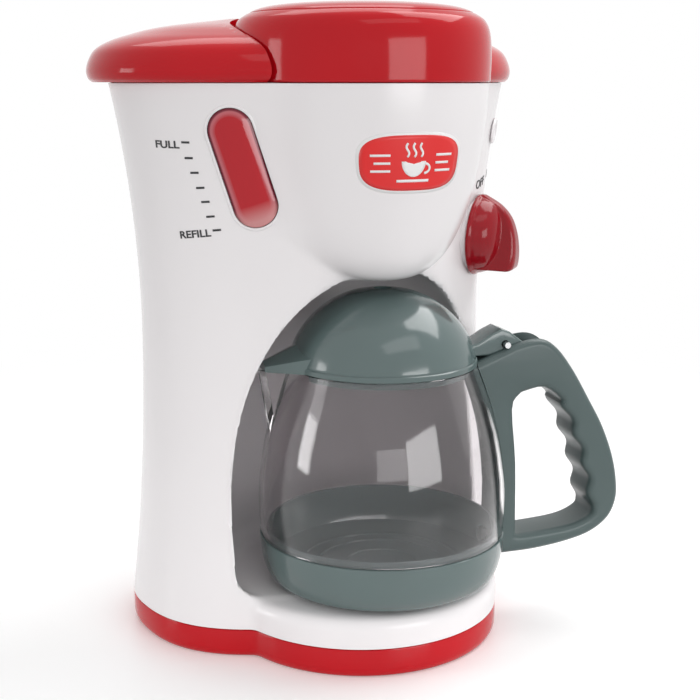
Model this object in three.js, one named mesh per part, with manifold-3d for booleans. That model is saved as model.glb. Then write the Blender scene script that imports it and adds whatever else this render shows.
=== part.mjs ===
// Toy coffee maker: a white two-shell body on a red base tray, red lids, a turning knob,
// a battery compartment in the back, and a clear lidded jug standing in the bay.
// Millimetres, +Z up, the front faces -Y, the origin is on the floor under the footprint's middle.
import * as THREE from 'three';
import { mergeVertices } from 'three/addons/utils/BufferGeometryUtils.js';
import Module from 'manifold-3d';

const wasm = await Module();
wasm.setup();

// Clearances and overruns
const seat = 0.3;
const over = 6;

// Facet counts
const turnSteps = 28;
const smallSteps = 8;
const ovalSteps = 32;
const hiddenSteps = 16;
const bowlSteps = 20;
const cornerSteps = 3;
const domeSteps = 7;
const flareSteps = 3;

// Body heights
const trayHeight = 10.8;
const plateTop = 22;
const waistHeight = 112;
const bodyTop = 204;
const wall = 2.4;

// Tower plan, an oval that narrows at the waist and flares at the crown
const towerY = 16;
const footHalfX = 75;
const footHalfY = 52;
const waistShare = 0.92;
const crownXShare = 1.0533;
const crownYShare = 1.0577;
const waistHalfX = footHalfX * waistShare;
const waistHalfY = footHalfY * waistShare;
const crownHalfX = footHalfX * crownXShare;
const crownHalfY = footHalfY * crownYShare;
const footPowerShare = 2.3;
const crownPowerShare = 2.05;

// Round front lobe and its warming plate
const lobeY = -17;
const lobeRadius = 51.8;
const plateEdge = 5;

// Brew head, a bowl that narrows and leans forward towards its rounded bottom
const headRadius = 45.3;
const headBottom = 135;
const headLean = 12;
const headHeightShares = [1, 0.87, 0.72, 0.59, 0.45, 0.32, 0.2, 0.09, 0.02, 0];
const headRadiusShares = [1, 0.99, 0.965, 0.92, 0.85, 0.77, 0.665, 0.5, 0.28, 0.1];
const headLeanShares = [0, 0, 0, 0.04, 0.14, 0.3, 0.52, 0.76, 0.94, 1];

// Jug bay
const bayRadius = 55;
const bayShoulder = 45;
const bayTop = 140;
const bayCorner = 8;
const bayPowerShare = 2.3;

// Split between the front housing and the rear cover
const splitY = 41;

// Red tray
const trayInset = 2.2;
const trayCurve = 3.5;

// Housing screws and their bosses
const screwShank = 1.3;
const screwHead = 3;
const screwHeadThick = 1.8;
const screwLength = 11;
const bossRadius = 3.6;
const bossWeb = 1.6;
const coverBossLength = 14;
const coverScrewLow = 34;
const coverScrewHigh = 188;
const lobeScrewX = 28;
const lobeScrewY = -44;
const towerBossHeight = 20;
const webReach = 16;

// Rear lid, a low dome with a round cut for the front lid
const rearLidOver = 6;
const rearLidHalfX = crownHalfX + rearLidOver;
const rearLidHalfY = crownHalfY + rearLidOver;
const rearLidHeight = 22.5;
const rearLidBack = 4.5;
const rearLidHeightShares = [0, 0.06, 0.18, 0.34, 0.5, 0.62, 0.72, 0.86, 1];
const rearLidInsetShares = [0.034, 0.01, 0, 0.016, 0.055, 0.13, 0.24, 0.465, 0.9];
const rearLidInset = 58;
const lipDepth = 2.8;
const lipThick = 1.8;

// Front lid on its hinge
const frontLidRadius = 46;
const frontLidHeight = 27.4;
const frontLidRadiusShares = [1, 1.004, 0.996, 0.967, 0.915, 0.87, 0.78, 0.5];
const frontLidHeightShares = [0, 0.29, 0.58, 0.75, 0.835, 0.86, 0.93, 0.98];
const lidWall = 2.2;
const lidCutGap = 0.4;
const lidSwingRoom = 3.5;
const lidHingeHeight = 22;
const lidHingeOut = 1.4;
const knuckleRadius = 2.7;
const knuckleHalf = 9.7;
const knuckleArm = 5;
const earWidth = 4;
const lidPinRadius = 1.2;

// Filter basket in the brew head
const ledgeDrop = 11;
const ledgeHeight = bodyTop - ledgeDrop;
const ledgeThick = 2;
const ledgeInner = 38.1;
const basketRim = 39.7;
const basketRimThick = 2;
const basketTop = 37.6;
const bowlWall = 1.6;
const basketFoot = 21.5;
const basketFloor = 157;
const basketWall = 1.8;
const basketHole = 3;
const basketRibs = 6;
const dripHole = 3;

// Water window on the left shoulder
const windowPlaceShare = 0.647;
const windowX = -crownHalfX * windowPlaceShare;
const windowGap = 4;
const windowTilt = 21.5 * Math.PI / 180;
const windowHalf = 13.2;
const windowRadius = 7.6;
const lensProud = 1.6;
const lensRound = 1.4;
const lensSteps = 3;
const lensFlange = 1.5;
const lensFlangeThick = 0.9;
const lensFlangeDepth = 4.6;
const windowReach = windowHalf * Math.cos(windowTilt) + windowRadius + lensFlange;
const windowHeight = bodyTop - lipDepth - windowGap - windowReach;
const backingThick = 1;
const lampRadius = 2.5;
const lampLength = 5;
const lampDown = 12;
const lampAside = 3.5;

// Indicator light on the right shoulder
const indicatorPlaceShare = 0.785;
const indicatorDrop = 18;
const indicatorX = crownHalfX * indicatorPlaceShare;
const indicatorHeight = bodyTop - indicatorDrop;
const ringRadius = 5;
const ringThick = 1.1;
const ringStem = 3.5;
const ringBore = 2.3;
const ringDepth = 5;
const ledRadius = 2;
const ledDepth = 8;
const ledProud = 0.7;

// Knob and its switch on the right wing
const knobPlaceShare = 0.6456;
const knobDrop = 39;
const knobX = crownHalfX * knobPlaceShare;
const knobHeight = indicatorHeight - knobDrop;
const knobRadius = 15.5;
const knobFlange = 1.5;
const knobDomeHeight = 11.5;
const knobGripHeight = 17.5;
const gripHeightShares = [0.2, 0.56, 0.8, 0.93, 0.99, 1, 0.97, 0.9];
const gripPlaceShares = [1, 0.78, 0.5, 0.15, -0.2, -0.52, -0.74, -0.8];
const gripWidthShares = [0.1, 0.16, 0.2, 0.25, 0.3, 0.35, 0.38, 0.38];
const padRadius = 13.8;
const padDepth = 5;
const padProud = 0.6;
const stemRadius = 3;
const stemSocket = 8;
const switchSide = 14;
const switchDepth = 8;
const socketWall = 1.6;
const socketDepth = 6;

// Battery compartment in the back
const cellRadius = 7.25;
const cellLength = 49.2;
const cellNub = 1.3;
const cellNubRadius = 2.75;
const cellPitch = 15.1;
const bayHalfX = 16.2;
const bayFloor = 34;
const springRoom = 5;
const plateRoom = 1.4;
const boxWall = 1.8;
const boxDepth = 18;
const doorLap = 2;
const doorHead = 7;
const doorGap = 0.35;
const tabX = 9;
const tabHalf = 2.5;
const tabLength = 4;
const tabThick = 1.7;
const tabSweep = 7;
const doorBoss = 4.4;
const doorScrewLength = 8;
const doorSinkShare = 0.6;
const doorLedge = 4.5;
const doorScrewHole = 2.5;
const contactThick = 0.8;
const contactSide = 11;
const springWire = 0.35;
const springTurns = 3;
const springRadius = 5;
const springTopShare = 0.45;
const springSides = 3;

// Circuit board and speaker on the rear cover
const boardHalfX = 21;
const boardGap = 6.3;
const boardTall = 30;
const boardThick = 1.6;
const boardBack = 11.44;
const boardPost = 2.6;
const boardScrewX = 16;
const chipSide = 9;
const chipThick = 1.6;
const speakerGap = 12.5;
const speakerRadius = 14.5;
const speakerRimThick = 1.5;
const speakerDepth = 7.5;
const magnetRadius = 8;
const speakerSink = 1.84;
const clampLap = 3.4;
const clampThick = 1.3;
const trimScrewLength = 4.4;
const speakerFrameShare = 0.8;
const clampBar = 5;
const clampScrewX = 19;
const slotHalf = 7.5;
const slotWidth = 1.8;
const slotPitch = 4.2;
const slotCount = 5;

// Jug
const jugX = 2.5;
const jugY = -27.5;
const handleTurn = -17 * Math.PI / 180;
const cupHeight = 18;
const cupRadius = 45.7;
const cupFloor = 3.6;
const cupWall = 2.2;
const cupRadiusShares = [0.83, 0.89, 0.935, 0.97, 0.99, 1];
const cupHeightShares = [0, 0.06, 0.17, 0.38, 0.65, 1];
const cupLipHeight = 2.6;
const glassHeight = 62.7;
const glassWall = 1.7;
const glassRadiusShares = [0.99, 1.005, 1.005, 0.98, 0.938, 0.87, 0.805, 0.752];
const glassHeightShares = [0, 0.12, 0.27, 0.43, 0.6, 0.77, 0.9, 1];
const beakDrop = 23;
const beakTip = 46.5;
const beakHalf = 11;
const lidBase = 103.4;
const domeHeight = 28;
const domeRadius = 34.6;
const domeWall = 1.8;
const domeRadiusShares = [1, 0.985, 0.93, 0.84, 0.72, 0.55, 0.35, 0.15];
const domeHeightShares = [0, 0.12, 0.32, 0.5, 0.665, 0.825, 0.935, 0.985];
const domeHole = 3.2;
const domeLip = 3;
const coverRise = 9.5;
const coverTip = 45;
const coverTipRise = 3;
const coverRoot = 30;
const coverRootHalf = 14;
const coverTipHalf = 4.5;

// Jug handle, drawn in its own upright plane, distance from the jug's axis and height above the floor
const handleHalf = 9;
const handleRound = 2.6;
const handleOut = 93.8;
const handleLow = 27.5;
const handleTop = 110.4;
const handleInner = 46.6;
const handleEdgeTop = 54;
const handleOuterShares = [
  [0.63, 0.005], [0.775, 0.027], [0.884, 0.062], [0.962, 0.125], [0.996, 0.21], [0.996, 0.304], [0.972, 0.432],
  [0.922, 0.575], [0.859, 0.703], [0.784, 0.846], [0.709, 0.955], [0.638, 1], [0.541, 0.988], [0.453, 0.95],
];
const holeLow = 35;
const holeHigh = 91.8;
const holeIn = 49;
const holeOut = 82.5;
const gripWaves = 4;
const gripWave = 1.5;
const thumbHalf = 6;
const slotFloor = 104.6;
const slotReach = 66;
const jugPinOut = 46;
const jugPinHeight = 109;
const jugPinRadius = 1.2;
const armShares = [
  [0.6, 0.116], [0.6, 0.44], [0.767, 0.56], [0.876, 0.83], [0.967, 1], [1.039, 0.89], [1.163, 0.51], [1.148, 0.357],
  [0.957, 0.18], [0.87, 0.116],
];
const armHeight = 11.2;
const handleScrewHeight = 33.5;
const handleScrewLength = 8;

// Colours of the plastics and metals
const white = { color: 0xe9e7e8, roughness: 0.32, metalness: 0 };
const red = { color: 0xc4161f, roughness: 0.28, metalness: 0 };
const darkRed = { color: 0xa3121c, roughness: 0.3, metalness: 0 };
const lensRed = { color: 0xb5101c, roughness: 0.12, metalness: 0, transparent: true, opacity: 0.75 };
const smoke = { color: 0xb9b3b4, roughness: 0.06, metalness: 0, transparent: true, opacity: 0.35 };
const grey = { color: 0x7d8f8f, roughness: 0.35, metalness: 0 };
const steel = { color: 0xb8babc, roughness: 0.3, metalness: 1 };
const black = { color: 0x26272a, roughness: 0.5, metalness: 0 };
const boardGreen = { color: 0x2f6b45, roughness: 0.6, metalness: 0 };
const cellBlue = { color: 0x345a8c, roughness: 0.4, metalness: 0.2 };
const lampClear = { color: 0xe8dcd8, roughness: 0.1, metalness: 0 };

// Closed geometry to solid: shared vertices merged, collapsed faces dropped, faces turned outwards
function solid(geometry) {
  const plain = geometry.clone();
  plain.deleteAttribute('normal');
  plain.deleteAttribute('uv');
  const merged = mergeVertices(plain);
  const place = merged.attributes.position.array;
  const corner = (i) => new THREE.Vector3().fromArray(place, 3 * i);
  const faces = [];
  let volume = 0;
  for (let i = 0; i < merged.index.count; i += 3) {
    const face = [0, 1, 2].map((k) => merged.index.getX(i + k));
    if (new Set(face).size === 3) {
      const [a, b, c] = face.map(corner);
      volume += a.dot(b.cross(c));
      faces.push(face);
    }
  }
  const triVerts = Uint32Array.from(faces.flatMap((face) => (volume < 0 ? face.reverse() : face)));
  return new wasm.Manifold(new wasm.Mesh({ numProp: 3, vertProperties: Float32Array.from(place), triVerts }));
}

function geometryOf(body) {
  const mesh = body.getMesh();
  const geometry = new THREE.BufferGeometry();
  geometry.setAttribute('position', new THREE.BufferAttribute(Float32Array.from(mesh.vertProperties), 3));
  geometry.setIndex(new THREE.BufferAttribute(Uint32Array.from(mesh.triVerts), 1));
  geometry.computeVertexNormals();
  return geometry;
}

const cut = (body, ...tools) => tools.reduce((rest, tool) => rest.subtract(tool), body);
const join = (body, ...more) => more.reduce((rest, piece) => rest.add(piece), body);

// A closed solid through rings of equally many points, each end closed to its middle
function loft(rings) {
  const steps = rings[0].length;
  const middle = (ring) => ring.reduce((sum, p) => sum.add(p), new THREE.Vector3()).divideScalar(steps);
  const points = [...rings.flat(), middle(rings[0]), middle(rings.at(-1))];
  const index = [];
  for (let r = 0; r + 1 < rings.length; r++) {
    for (let i = 0; i < steps; i++) {
      const next = (i + 1) % steps;
      const [a, b, c, d] = [r * steps + i, r * steps + next, (r + 1) * steps + i, (r + 1) * steps + next];
      index.push(a, b, d, a, d, c);
    }
  }
  const top = (rings.length - 1) * steps;
  for (let i = 0; i < steps; i++) {
    const next = (i + 1) % steps;
    index.push(points.length - 2, next, i, points.length - 1, top + i, top + next);
  }
  const geometry = new THREE.BufferGeometry();
  geometry.setAttribute('position', new THREE.Float32BufferAttribute(points.flatMap((p) => p.toArray()), 3));
  geometry.setIndex(index);
  return geometry;
}

function turned(profile, steps = turnSteps) {
  const points = profile.map(([radius, z]) => new THREE.Vector2(radius, z));
  return new THREE.LatheGeometry(points, steps).rotateX(Math.PI / 2);
}

function rod(radius, length, steps = smallSteps) {
  return new THREE.CylinderGeometry(radius, radius, length, steps).rotateX(Math.PI / 2).translate(0, 0, length / 2);
}

function block(x0, x1, y0, y1, z0, z1) {
  const box = new THREE.BoxGeometry(x1 - x0, y1 - y0, z1 - z0);
  return box.translate((x0 + x1) / 2, (y0 + y1) / 2, (z0 + z1) / 2);
}

function arc(centreR, centreZ, radius, from, to, steps) {
  const points = [];
  for (let i = 0; i <= steps; i++) {
    const angle = from + (to - from) * i / steps;
    points.push([centreR + radius * Math.cos(angle), centreZ + radius * Math.sin(angle)]);
  }
  return points;
}

// Tower outline at a height
function flare(z, foot, waist, crown) {
  const below = Math.max(0, (waistHeight - z) / (waistHeight - trayHeight));
  const above = Math.max(0, (z - waistHeight) / (bodyTop - waistHeight));
  return waist + (foot - waist) * below ** 2 + (crown - waist) * above ** 2;
}

const towerHalfX = (z) => flare(z, footHalfX, waistHalfX, crownHalfX);
const towerHalfY = (z) => flare(z, footHalfY, waistHalfY, crownHalfY);

function towerPower(z) {
  const rise = THREE.MathUtils.clamp((z - trayHeight) / (bodyTop - trayHeight), 0, 1);
  return THREE.MathUtils.lerp(footPowerShare, crownPowerShare, rise);
}

function ovalRing(halfX, halfY, power, y, z, steps = ovalSteps) {
  const bend = (t) => Math.sign(t) * Math.abs(t) ** (2 / power);
  return Array.from({ length: steps }, (_, i) => {
    const angle = 2 * Math.PI * i / steps;
    return new THREE.Vector3(halfX * bend(Math.cos(angle)), y + halfY * bend(Math.sin(angle)), z);
  });
}

const towerRing = (z, inset, steps) => (
  ovalRing(towerHalfX(z) - inset, towerHalfY(z) - inset, towerPower(z), towerY, z, steps));

// Half width of the tower at a depth, and half depth at a distance to the side
function towerSideX(y, z) {
  const share = Math.abs(y - towerY) / towerHalfY(z);
  return towerHalfX(z) * (1 - share ** towerPower(z)) ** (1 / towerPower(z));
}

function towerDepth(x, z) {
  const share = Math.abs(x) / towerHalfX(z);
  return towerHalfY(z) * (1 - share ** towerPower(z)) ** (1 / towerPower(z));
}

// A frame standing on the tower's front face: its Z leaves the wall, its Y runs up the wall
function frontFace(x, z) {
  const point = (px, pz) => new THREE.Vector3(px, towerY - towerDepth(px, pz), pz);
  const across = point(x + wall, z).sub(point(x - wall, z)).normalize();
  const up = point(x, z + wall).sub(point(x, z - wall)).normalize();
  const out = new THREE.Vector3().crossVectors(across, up).normalize();
  const side = new THREE.Vector3().crossVectors(up, out).normalize();
  return new THREE.Matrix4().makeBasis(side, up, out).setPosition(point(x, z));
}

// Main forms; a positive inset gives the room inside a wall of that thickness
function towerForm(inset) {
  const low = inset === 0 ? trayHeight : trayHeight - over;
  const heights = [low, (trayHeight + waistHeight) / 2, waistHeight];
  for (let i = 1; i <= flareSteps; i++) {
    heights.push(waistHeight + (bodyTop - waistHeight) * i / flareSteps);
  }
  if (inset !== 0) heights.push(bodyTop + over);
  return solid(loft(heights.map((z) => towerRing(z, inset, inset > 0 ? hiddenSteps : ovalSteps))));
}

function lobeForm(inset) {
  const low = inset === 0 ? trayHeight : trayHeight - over;
  const radius = lobeRadius - inset;
  const top = plateTop - inset;
  const edge = arc(radius - plateEdge, top - plateEdge, plateEdge, 0, Math.PI / 2, cornerSteps);
  const steps = inset > 0 ? hiddenSteps : turnSteps;
  return solid(turned([[0, low], [radius, low], ...edge, [0, top]], steps).translate(0, lobeY, 0));
}

function headForm(inset, steps = turnSteps) {
  const bottom = headBottom + inset;
  const rings = headHeightShares.map((share, i) => {
    const radius = Math.max(headRadius * headRadiusShares[i] - inset, headRadius * headRadiusShares.at(-1) / 2);
    const y = lobeY - headLean * headLeanShares[i];
    return ovalRing(radius, radius, 2, y, bottom + (bodyTop - bottom) * share, steps);
  });
  const collar = headRadius - inset;
  if (inset !== 0) rings.unshift(ovalRing(collar, collar, 2, lobeY, bodyTop + over, steps));
  return solid(loft(rings));
}

function bayForm(grow, steps = turnSteps) {
  const radius = bayRadius + grow;
  const floor = plateTop - grow;
  const corner = arc(radius - bayCorner, floor + bayCorner, bayCorner, -Math.PI / 2, 0, cornerSteps);
  const bend = (value) => Math.max(value, 0) ** (2 / bayPowerShare);
  const dome = Array.from({ length: domeSteps }, (_, i) => {
    const angle = Math.PI / 2 * i / domeSteps;
    return [radius * bend(Math.cos(angle)), bayShoulder + (bayTop - bayShoulder + grow) * bend(Math.sin(angle))];
  });
  dome.push([0, bayTop + grow]);
  return solid(turned([[0, floor], ...corner, ...dome], steps).translate(0, lobeY, 0));
}

// Places of the long cover screws and of the short tray screws
const coverScrews = [-1, 1].flatMap((side) => [coverScrewLow, coverScrewHigh].map((z) => (
  { x: side * (towerSideX(splitY, z) - wall - bossRadius), z, side }
)));
const towerScrewX = towerHalfX(towerBossHeight) - wall - bossRadius;
const trayScrews = [-1, 1].flatMap((side) => [
  { x: side * lobeScrewX, y: lobeScrewY, side },
  { x: side * towerScrewX, y: towerY, side },
]);
const alongY = (geometry, x, y, z) => geometry.rotateX(-Math.PI / 2).translate(x, y, z);

const rearWall = (z) => towerY + towerHalfY(z);
const boxInner = rearWall(waistHeight) - wall;
const boxHigh = bayFloor + cellLength + cellNub + springRoom + plateRoom;
const doorLow = bayFloor - doorLap;
const doorHigh = boxHigh + boxWall + doorHead;
const doorScrewZ = boxHigh + boxWall + doorHead / 2;
const doorSeat = rearWall(doorScrewZ) - wall * doorSinkShare + seat;

const boardY = boxInner - boardBack;
const boardLow = doorHigh + boardGap;
const boardHigh = boardLow + boardTall;
const speakerHeight = boardHigh + speakerGap + speakerRadius;
const speakerSeatY = rearWall(speakerHeight) - wall - speakerSink;
const clampY = speakerSeatY - clampLap;
const boardScrews = [[-boardScrewX, boardLow + boardPost * 1.5], [boardScrewX, boardHigh - boardPost * 1.5]];

// Everything round the tower between two heights
const between = (low, high) => solid(block(-2 * crownHalfX, 2 * crownHalfX, lobeY - 2 * lobeRadius, towerY + 2 * crownHalfY,
  low, high));

// The whole white shell before it is split: walls round the tower, the head, the plate and the bay's floor
const linerLow = plateTop + bayCorner;
function shellForm() {
  const outer = join(cut(join(towerForm(0), lobeForm(0)), bayForm(0)), headForm(0));
  const bayFoot = bayForm(wall, hiddenSteps).intersect(between(0, linerLow));
  return cut(outer, cut(join(towerForm(wall), lobeForm(wall)), bayFoot), headForm(wall));
}

// The bay's wall and ceiling, set inside the tower's wall, with the underside of the head
function bayLiner() {
  const body = cut(bayForm(wall, hiddenSteps), cut(bayForm(0), headForm(0)), headForm(wall));
  return body.intersect(towerForm(wall + seat)).intersect(between(linerLow + seat, bodyTop));
}

// The bowl inside the head, with the ledge that carries the filter basket and a hole to drip through
function brewBowl() {
  const inset = wall + seat;
  const body = cut(headForm(inset), headForm(inset + bowlWall, bowlSteps)).intersect(between(0, bodyTop));
  return cut(join(body, basketLedge()), dripOpening());
}

function frontHousing(shell) {
  let body = shell.intersect(solid(block(-crownHalfX - over, crownHalfX + over, lobeY - lobeRadius - over, splitY,
    trayHeight, bodyTop)));
  const limit = towerForm(wall / 2);
  for (const { x, z, side } of coverScrews) {
    const boss = solid(alongY(rod(bossRadius, coverBossLength), x, splitY - coverBossLength, z));
    const web = solid(block(Math.min(x, x + side * webReach), Math.max(x, x + side * webReach),
      splitY - coverBossLength, splitY, z - bossWeb / 2, z + bossWeb / 2));
    body = join(body, join(boss, web).intersect(limit));
  }
  for (const { x, y, side } of trayScrews) {
    const high = y === towerY ? towerBossHeight : plateTop - wall / 2;
    body = join(body, solid(rod(bossRadius, high - trayHeight).translate(x, y, trayHeight)));
    if (y === towerY) {
      const web = solid(block(Math.min(x, x + side * webReach), Math.max(x, x + side * webReach),
        y - bossWeb / 2, y + bossWeb / 2, trayHeight, high));
      body = join(body, web.intersect(limit));
    }
  }
  body = join(body, knobPad());
  for (const { x, z } of coverScrews) {
    body = cut(body, solid(alongY(rod(screwShank + seat, screwLength), x, splitY - screwLength + wall, z)));
  }
  for (const { x, y } of trayScrews) {
    body = cut(body, solid(rod(screwShank + seat, screwLength).translate(x, y, trayHeight - wall)));
  }
  return cut(body, windowOpening(), indicatorOpening(), knobOpening(), dripOpening());
}

function basketLedge() {
  const outer = headRadius - wall - seat - bowlWall / 2;
  const profile = [[ledgeInner, ledgeHeight], [outer, ledgeHeight - ledgeThick], [outer, ledgeHeight + ledgeThick],
    [ledgeInner, ledgeHeight + ledgeThick], [ledgeInner, ledgeHeight]];
  return solid(turned(profile).translate(0, lobeY, 0));
}

const dripOpening = () => solid(rod(dripHole, 6 * wall).translate(0, lobeY - headLean, headBottom - wall));

// Rear cover with its screw wells, battery box, board posts and speaker seat
function rearCover(shell) {
  let body = shell.intersect(solid(block(-crownHalfX - over, crownHalfX + over, splitY + seat,
    towerY + crownHalfY + over, trayHeight, bodyTop)));
  const outer = towerForm(0);
  const inner = towerForm(wall / 2);
  const deep = towerY + crownHalfY - splitY;
  const wellFloor = splitY + seat + wall;
  for (const { x, z } of coverScrews) {
    body = join(body, solid(alongY(rod(screwHead + seat + wall / 2, deep), x, splitY + seat, z)).intersect(outer));
    body = cut(body, solid(alongY(rod(screwHead + seat, deep + over), x, wellFloor, z)));
    body = cut(body, solid(alongY(rod(screwShank + seat, deep), x, splitY - over, z)));
  }
  body = join(body, batteryBox().intersect(inner));
  for (const [x, z] of boardScrews) {
    body = join(body, solid(alongY(rod(boardPost, deep), x, boardY, z)).intersect(inner));
    body = cut(body, solid(alongY(rod(screwShank + seat, screwLength), x, boardY - over, z)));
  }
  for (const side of [-1, 1]) {
    const post = solid(alongY(rod(boardPost, deep), side * clampScrewX, clampY + seat + clampThick, speakerHeight));
    body = join(body, post.intersect(inner));
    const pilot = alongY(rod(screwShank + seat, trimScrewLength + seat), side * clampScrewX, clampY, speakerHeight);
    body = cut(body, solid(pilot));
  }
  const ring = cut(solid(alongY(rod(speakerRadius, deep, turnSteps / 2), 0, speakerSeatY, speakerHeight)),
    solid(alongY(rod(speakerRadius - wall, deep, turnSteps / 2), 0, speakerSeatY - over, speakerHeight)));
  body = join(body, ring.intersect(inner));
  for (let i = 0; i < slotCount; i++) {
    const z = speakerHeight + (i - (slotCount - 1) / 2) * slotPitch;
    body = cut(body, solid(block(-slotHalf, slotHalf, speakerSeatY, speakerSeatY + 4 * wall,
      z - slotWidth / 2, z + slotWidth / 2)));
  }
  return cut(body, batteryOpening());
}

function batteryBox() {
  const front = boxInner - boxDepth;
  const half = bayHalfX + boxWall;
  const box = solid(block(-half, half, front - boxWall, boxInner + over, bayFloor - boxWall, boxHigh + boxWall));
  const ledge = solid(block(-half, half, boxInner - doorLedge, boxInner + over, boxHigh, doorHigh + boxWall));
  const bossLow = doorSeat - doorScrewLength - wall;
  const boss = solid(alongY(rod(doorBoss, boxInner - bossLow), 0, bossLow, doorScrewZ));
  return join(box, ledge, boss);
}

function batteryOpening() {
  const front = boxInner - boxDepth;
  const far = boxInner + 2 * over;
  let room = solid(block(-bayHalfX, bayHalfX, front, far, bayFloor, boxHigh));
  const behind = rearWall(doorLow) - wall;
  const layer = solid(block(-bayHalfX - doorLap, bayHalfX + doorLap, front, far, doorLow, doorHigh));
  room = join(room, cut(layer, towerForm(wall + seat)));
  for (const side of [-1, 1]) {
    const x = side * tabX;
    room = join(room, solid(block(x - tabHalf - seat, x + tabHalf + seat, rearWall(doorLow) - tabSweep,
      behind - seat / 3, doorLow - tabLength - seat, bayFloor + seat)));
  }
  const hole = rod(doorScrewHole, doorScrewLength + over).translate(0, 0, -2 * seat);
  return join(room, solid(alongY(hole, 0, doorSeat - doorScrewLength, doorScrewZ)));
}

// The door is the piece of the cover's wall that fills the opening, with two tabs and a screw hole
function batteryDoor(shell) {
  const behind = rearWall(doorLow) - wall;
  const half = bayHalfX + doorLap - doorGap;
  let door = shell.intersect(solid(block(-half, half, splitY, towerY + crownHalfY, doorLow + doorGap,
    doorHigh - doorGap)));
  for (const side of [-1, 1]) {
    const x = side * tabX;
    door = join(door, solid(block(x - tabHalf, x + tabHalf, behind - seat - tabThick, behind + wall / 2,
      doorLow + doorGap, doorLow + doorGap + wall)));
    door = join(door, solid(block(x - tabHalf, x + tabHalf, behind - seat - tabThick, behind - seat,
      doorLow - tabLength, doorLow + doorGap + wall)));
  }
  const y = rearWall(doorScrewZ);
  const shank = solid(alongY(rod(screwShank + seat, over), 0, y - over, doorScrewZ));
  const head = solid(alongY(rod(screwHead + seat, over), 0, doorSeat - seat, doorScrewZ));
  return cut(door, shank, head);
}

// Red base tray under tower and lobe, open above, with four screw wells
function trayForm(inset, low) {
  const heights = inset === 0 ? [0, trayCurve / 3, trayCurve, trayHeight - seat] : [low, trayCurve, trayHeight];
  const draw = (z) => inset + trayInset * Math.max(0, 1 - z / trayCurve) ** 2;
  const hidden = inset > 0;
  const tower = solid(loft(heights.map((z) => (
    ovalRing(footHalfX - draw(z), footHalfY - draw(z), footPowerShare, towerY, z, hidden ? hiddenSteps : ovalSteps)))));
  const edge = heights.map((z) => [lobeRadius - draw(z), z]);
  const lobe = solid(turned([[0, heights[0]], ...edge, [0, heights.at(-1)]], hidden ? hiddenSteps : turnSteps)
    .translate(0, lobeY, 0));
  return join(tower, lobe);
}

function baseTray() {
  const top = trayHeight - seat;
  let body = cut(trayForm(0, 0), trayForm(wall, wall));
  for (const { x, y } of trayScrews) {
    const post = solid(rod(screwHead + seat + wall, top).translate(x, y, 0)).intersect(trayForm(0, 0));
    body = join(body, post);
    body = cut(body, solid(rod(screwHead + seat, top - wall + over).translate(x, y, -over)));
    body = cut(body, solid(rod(screwShank + seat, top + over).translate(x, y, 0)));
  }
  return body;
}

// A screw in the given frame, its shank along -Z from the underside of the head
function screw(length, place) {
  const head = rod(screwHead, screwHeadThick).applyMatrix4(place);
  const shank = rod(screwShank, length + screwHeadThick / 2).translate(0, 0, -length).applyMatrix4(place);
  return join(solid(head), solid(shank));
}

// Rear lid: dome, wall round the front lid's cut, lip inside the tower and ears for the hinge pin
const lidLow = bodyTop + seat;
const hingeY = lobeY + frontLidRadius + lidHingeOut;
const hingeZ = lidLow + lidHingeHeight;

function rearLidForm(inset) {
  const steps = inset > 0 ? hiddenSteps : ovalSteps;
  const oval = (halfX, halfY, z) => ovalRing(halfX, halfY, crownPowerShare, towerY + rearLidBack, z, steps);
  const rings = rearLidHeightShares.map((share, i) => {
    const draw = inset + rearLidInset * rearLidInsetShares[i];
    const halfX = Math.max(rearLidHalfX - draw, wall);
    const halfY = Math.max(rearLidHalfY - draw, wall / 2);
    return oval(halfX, halfY, lidLow + (rearLidHeight - inset) * share);
  });
  const draw = inset + rearLidInset * rearLidInsetShares[0];
  if (inset !== 0) rings.unshift(oval(rearLidHalfX - draw, rearLidHalfY - draw, lidLow - over));
  return solid(loft(rings));
}

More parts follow.
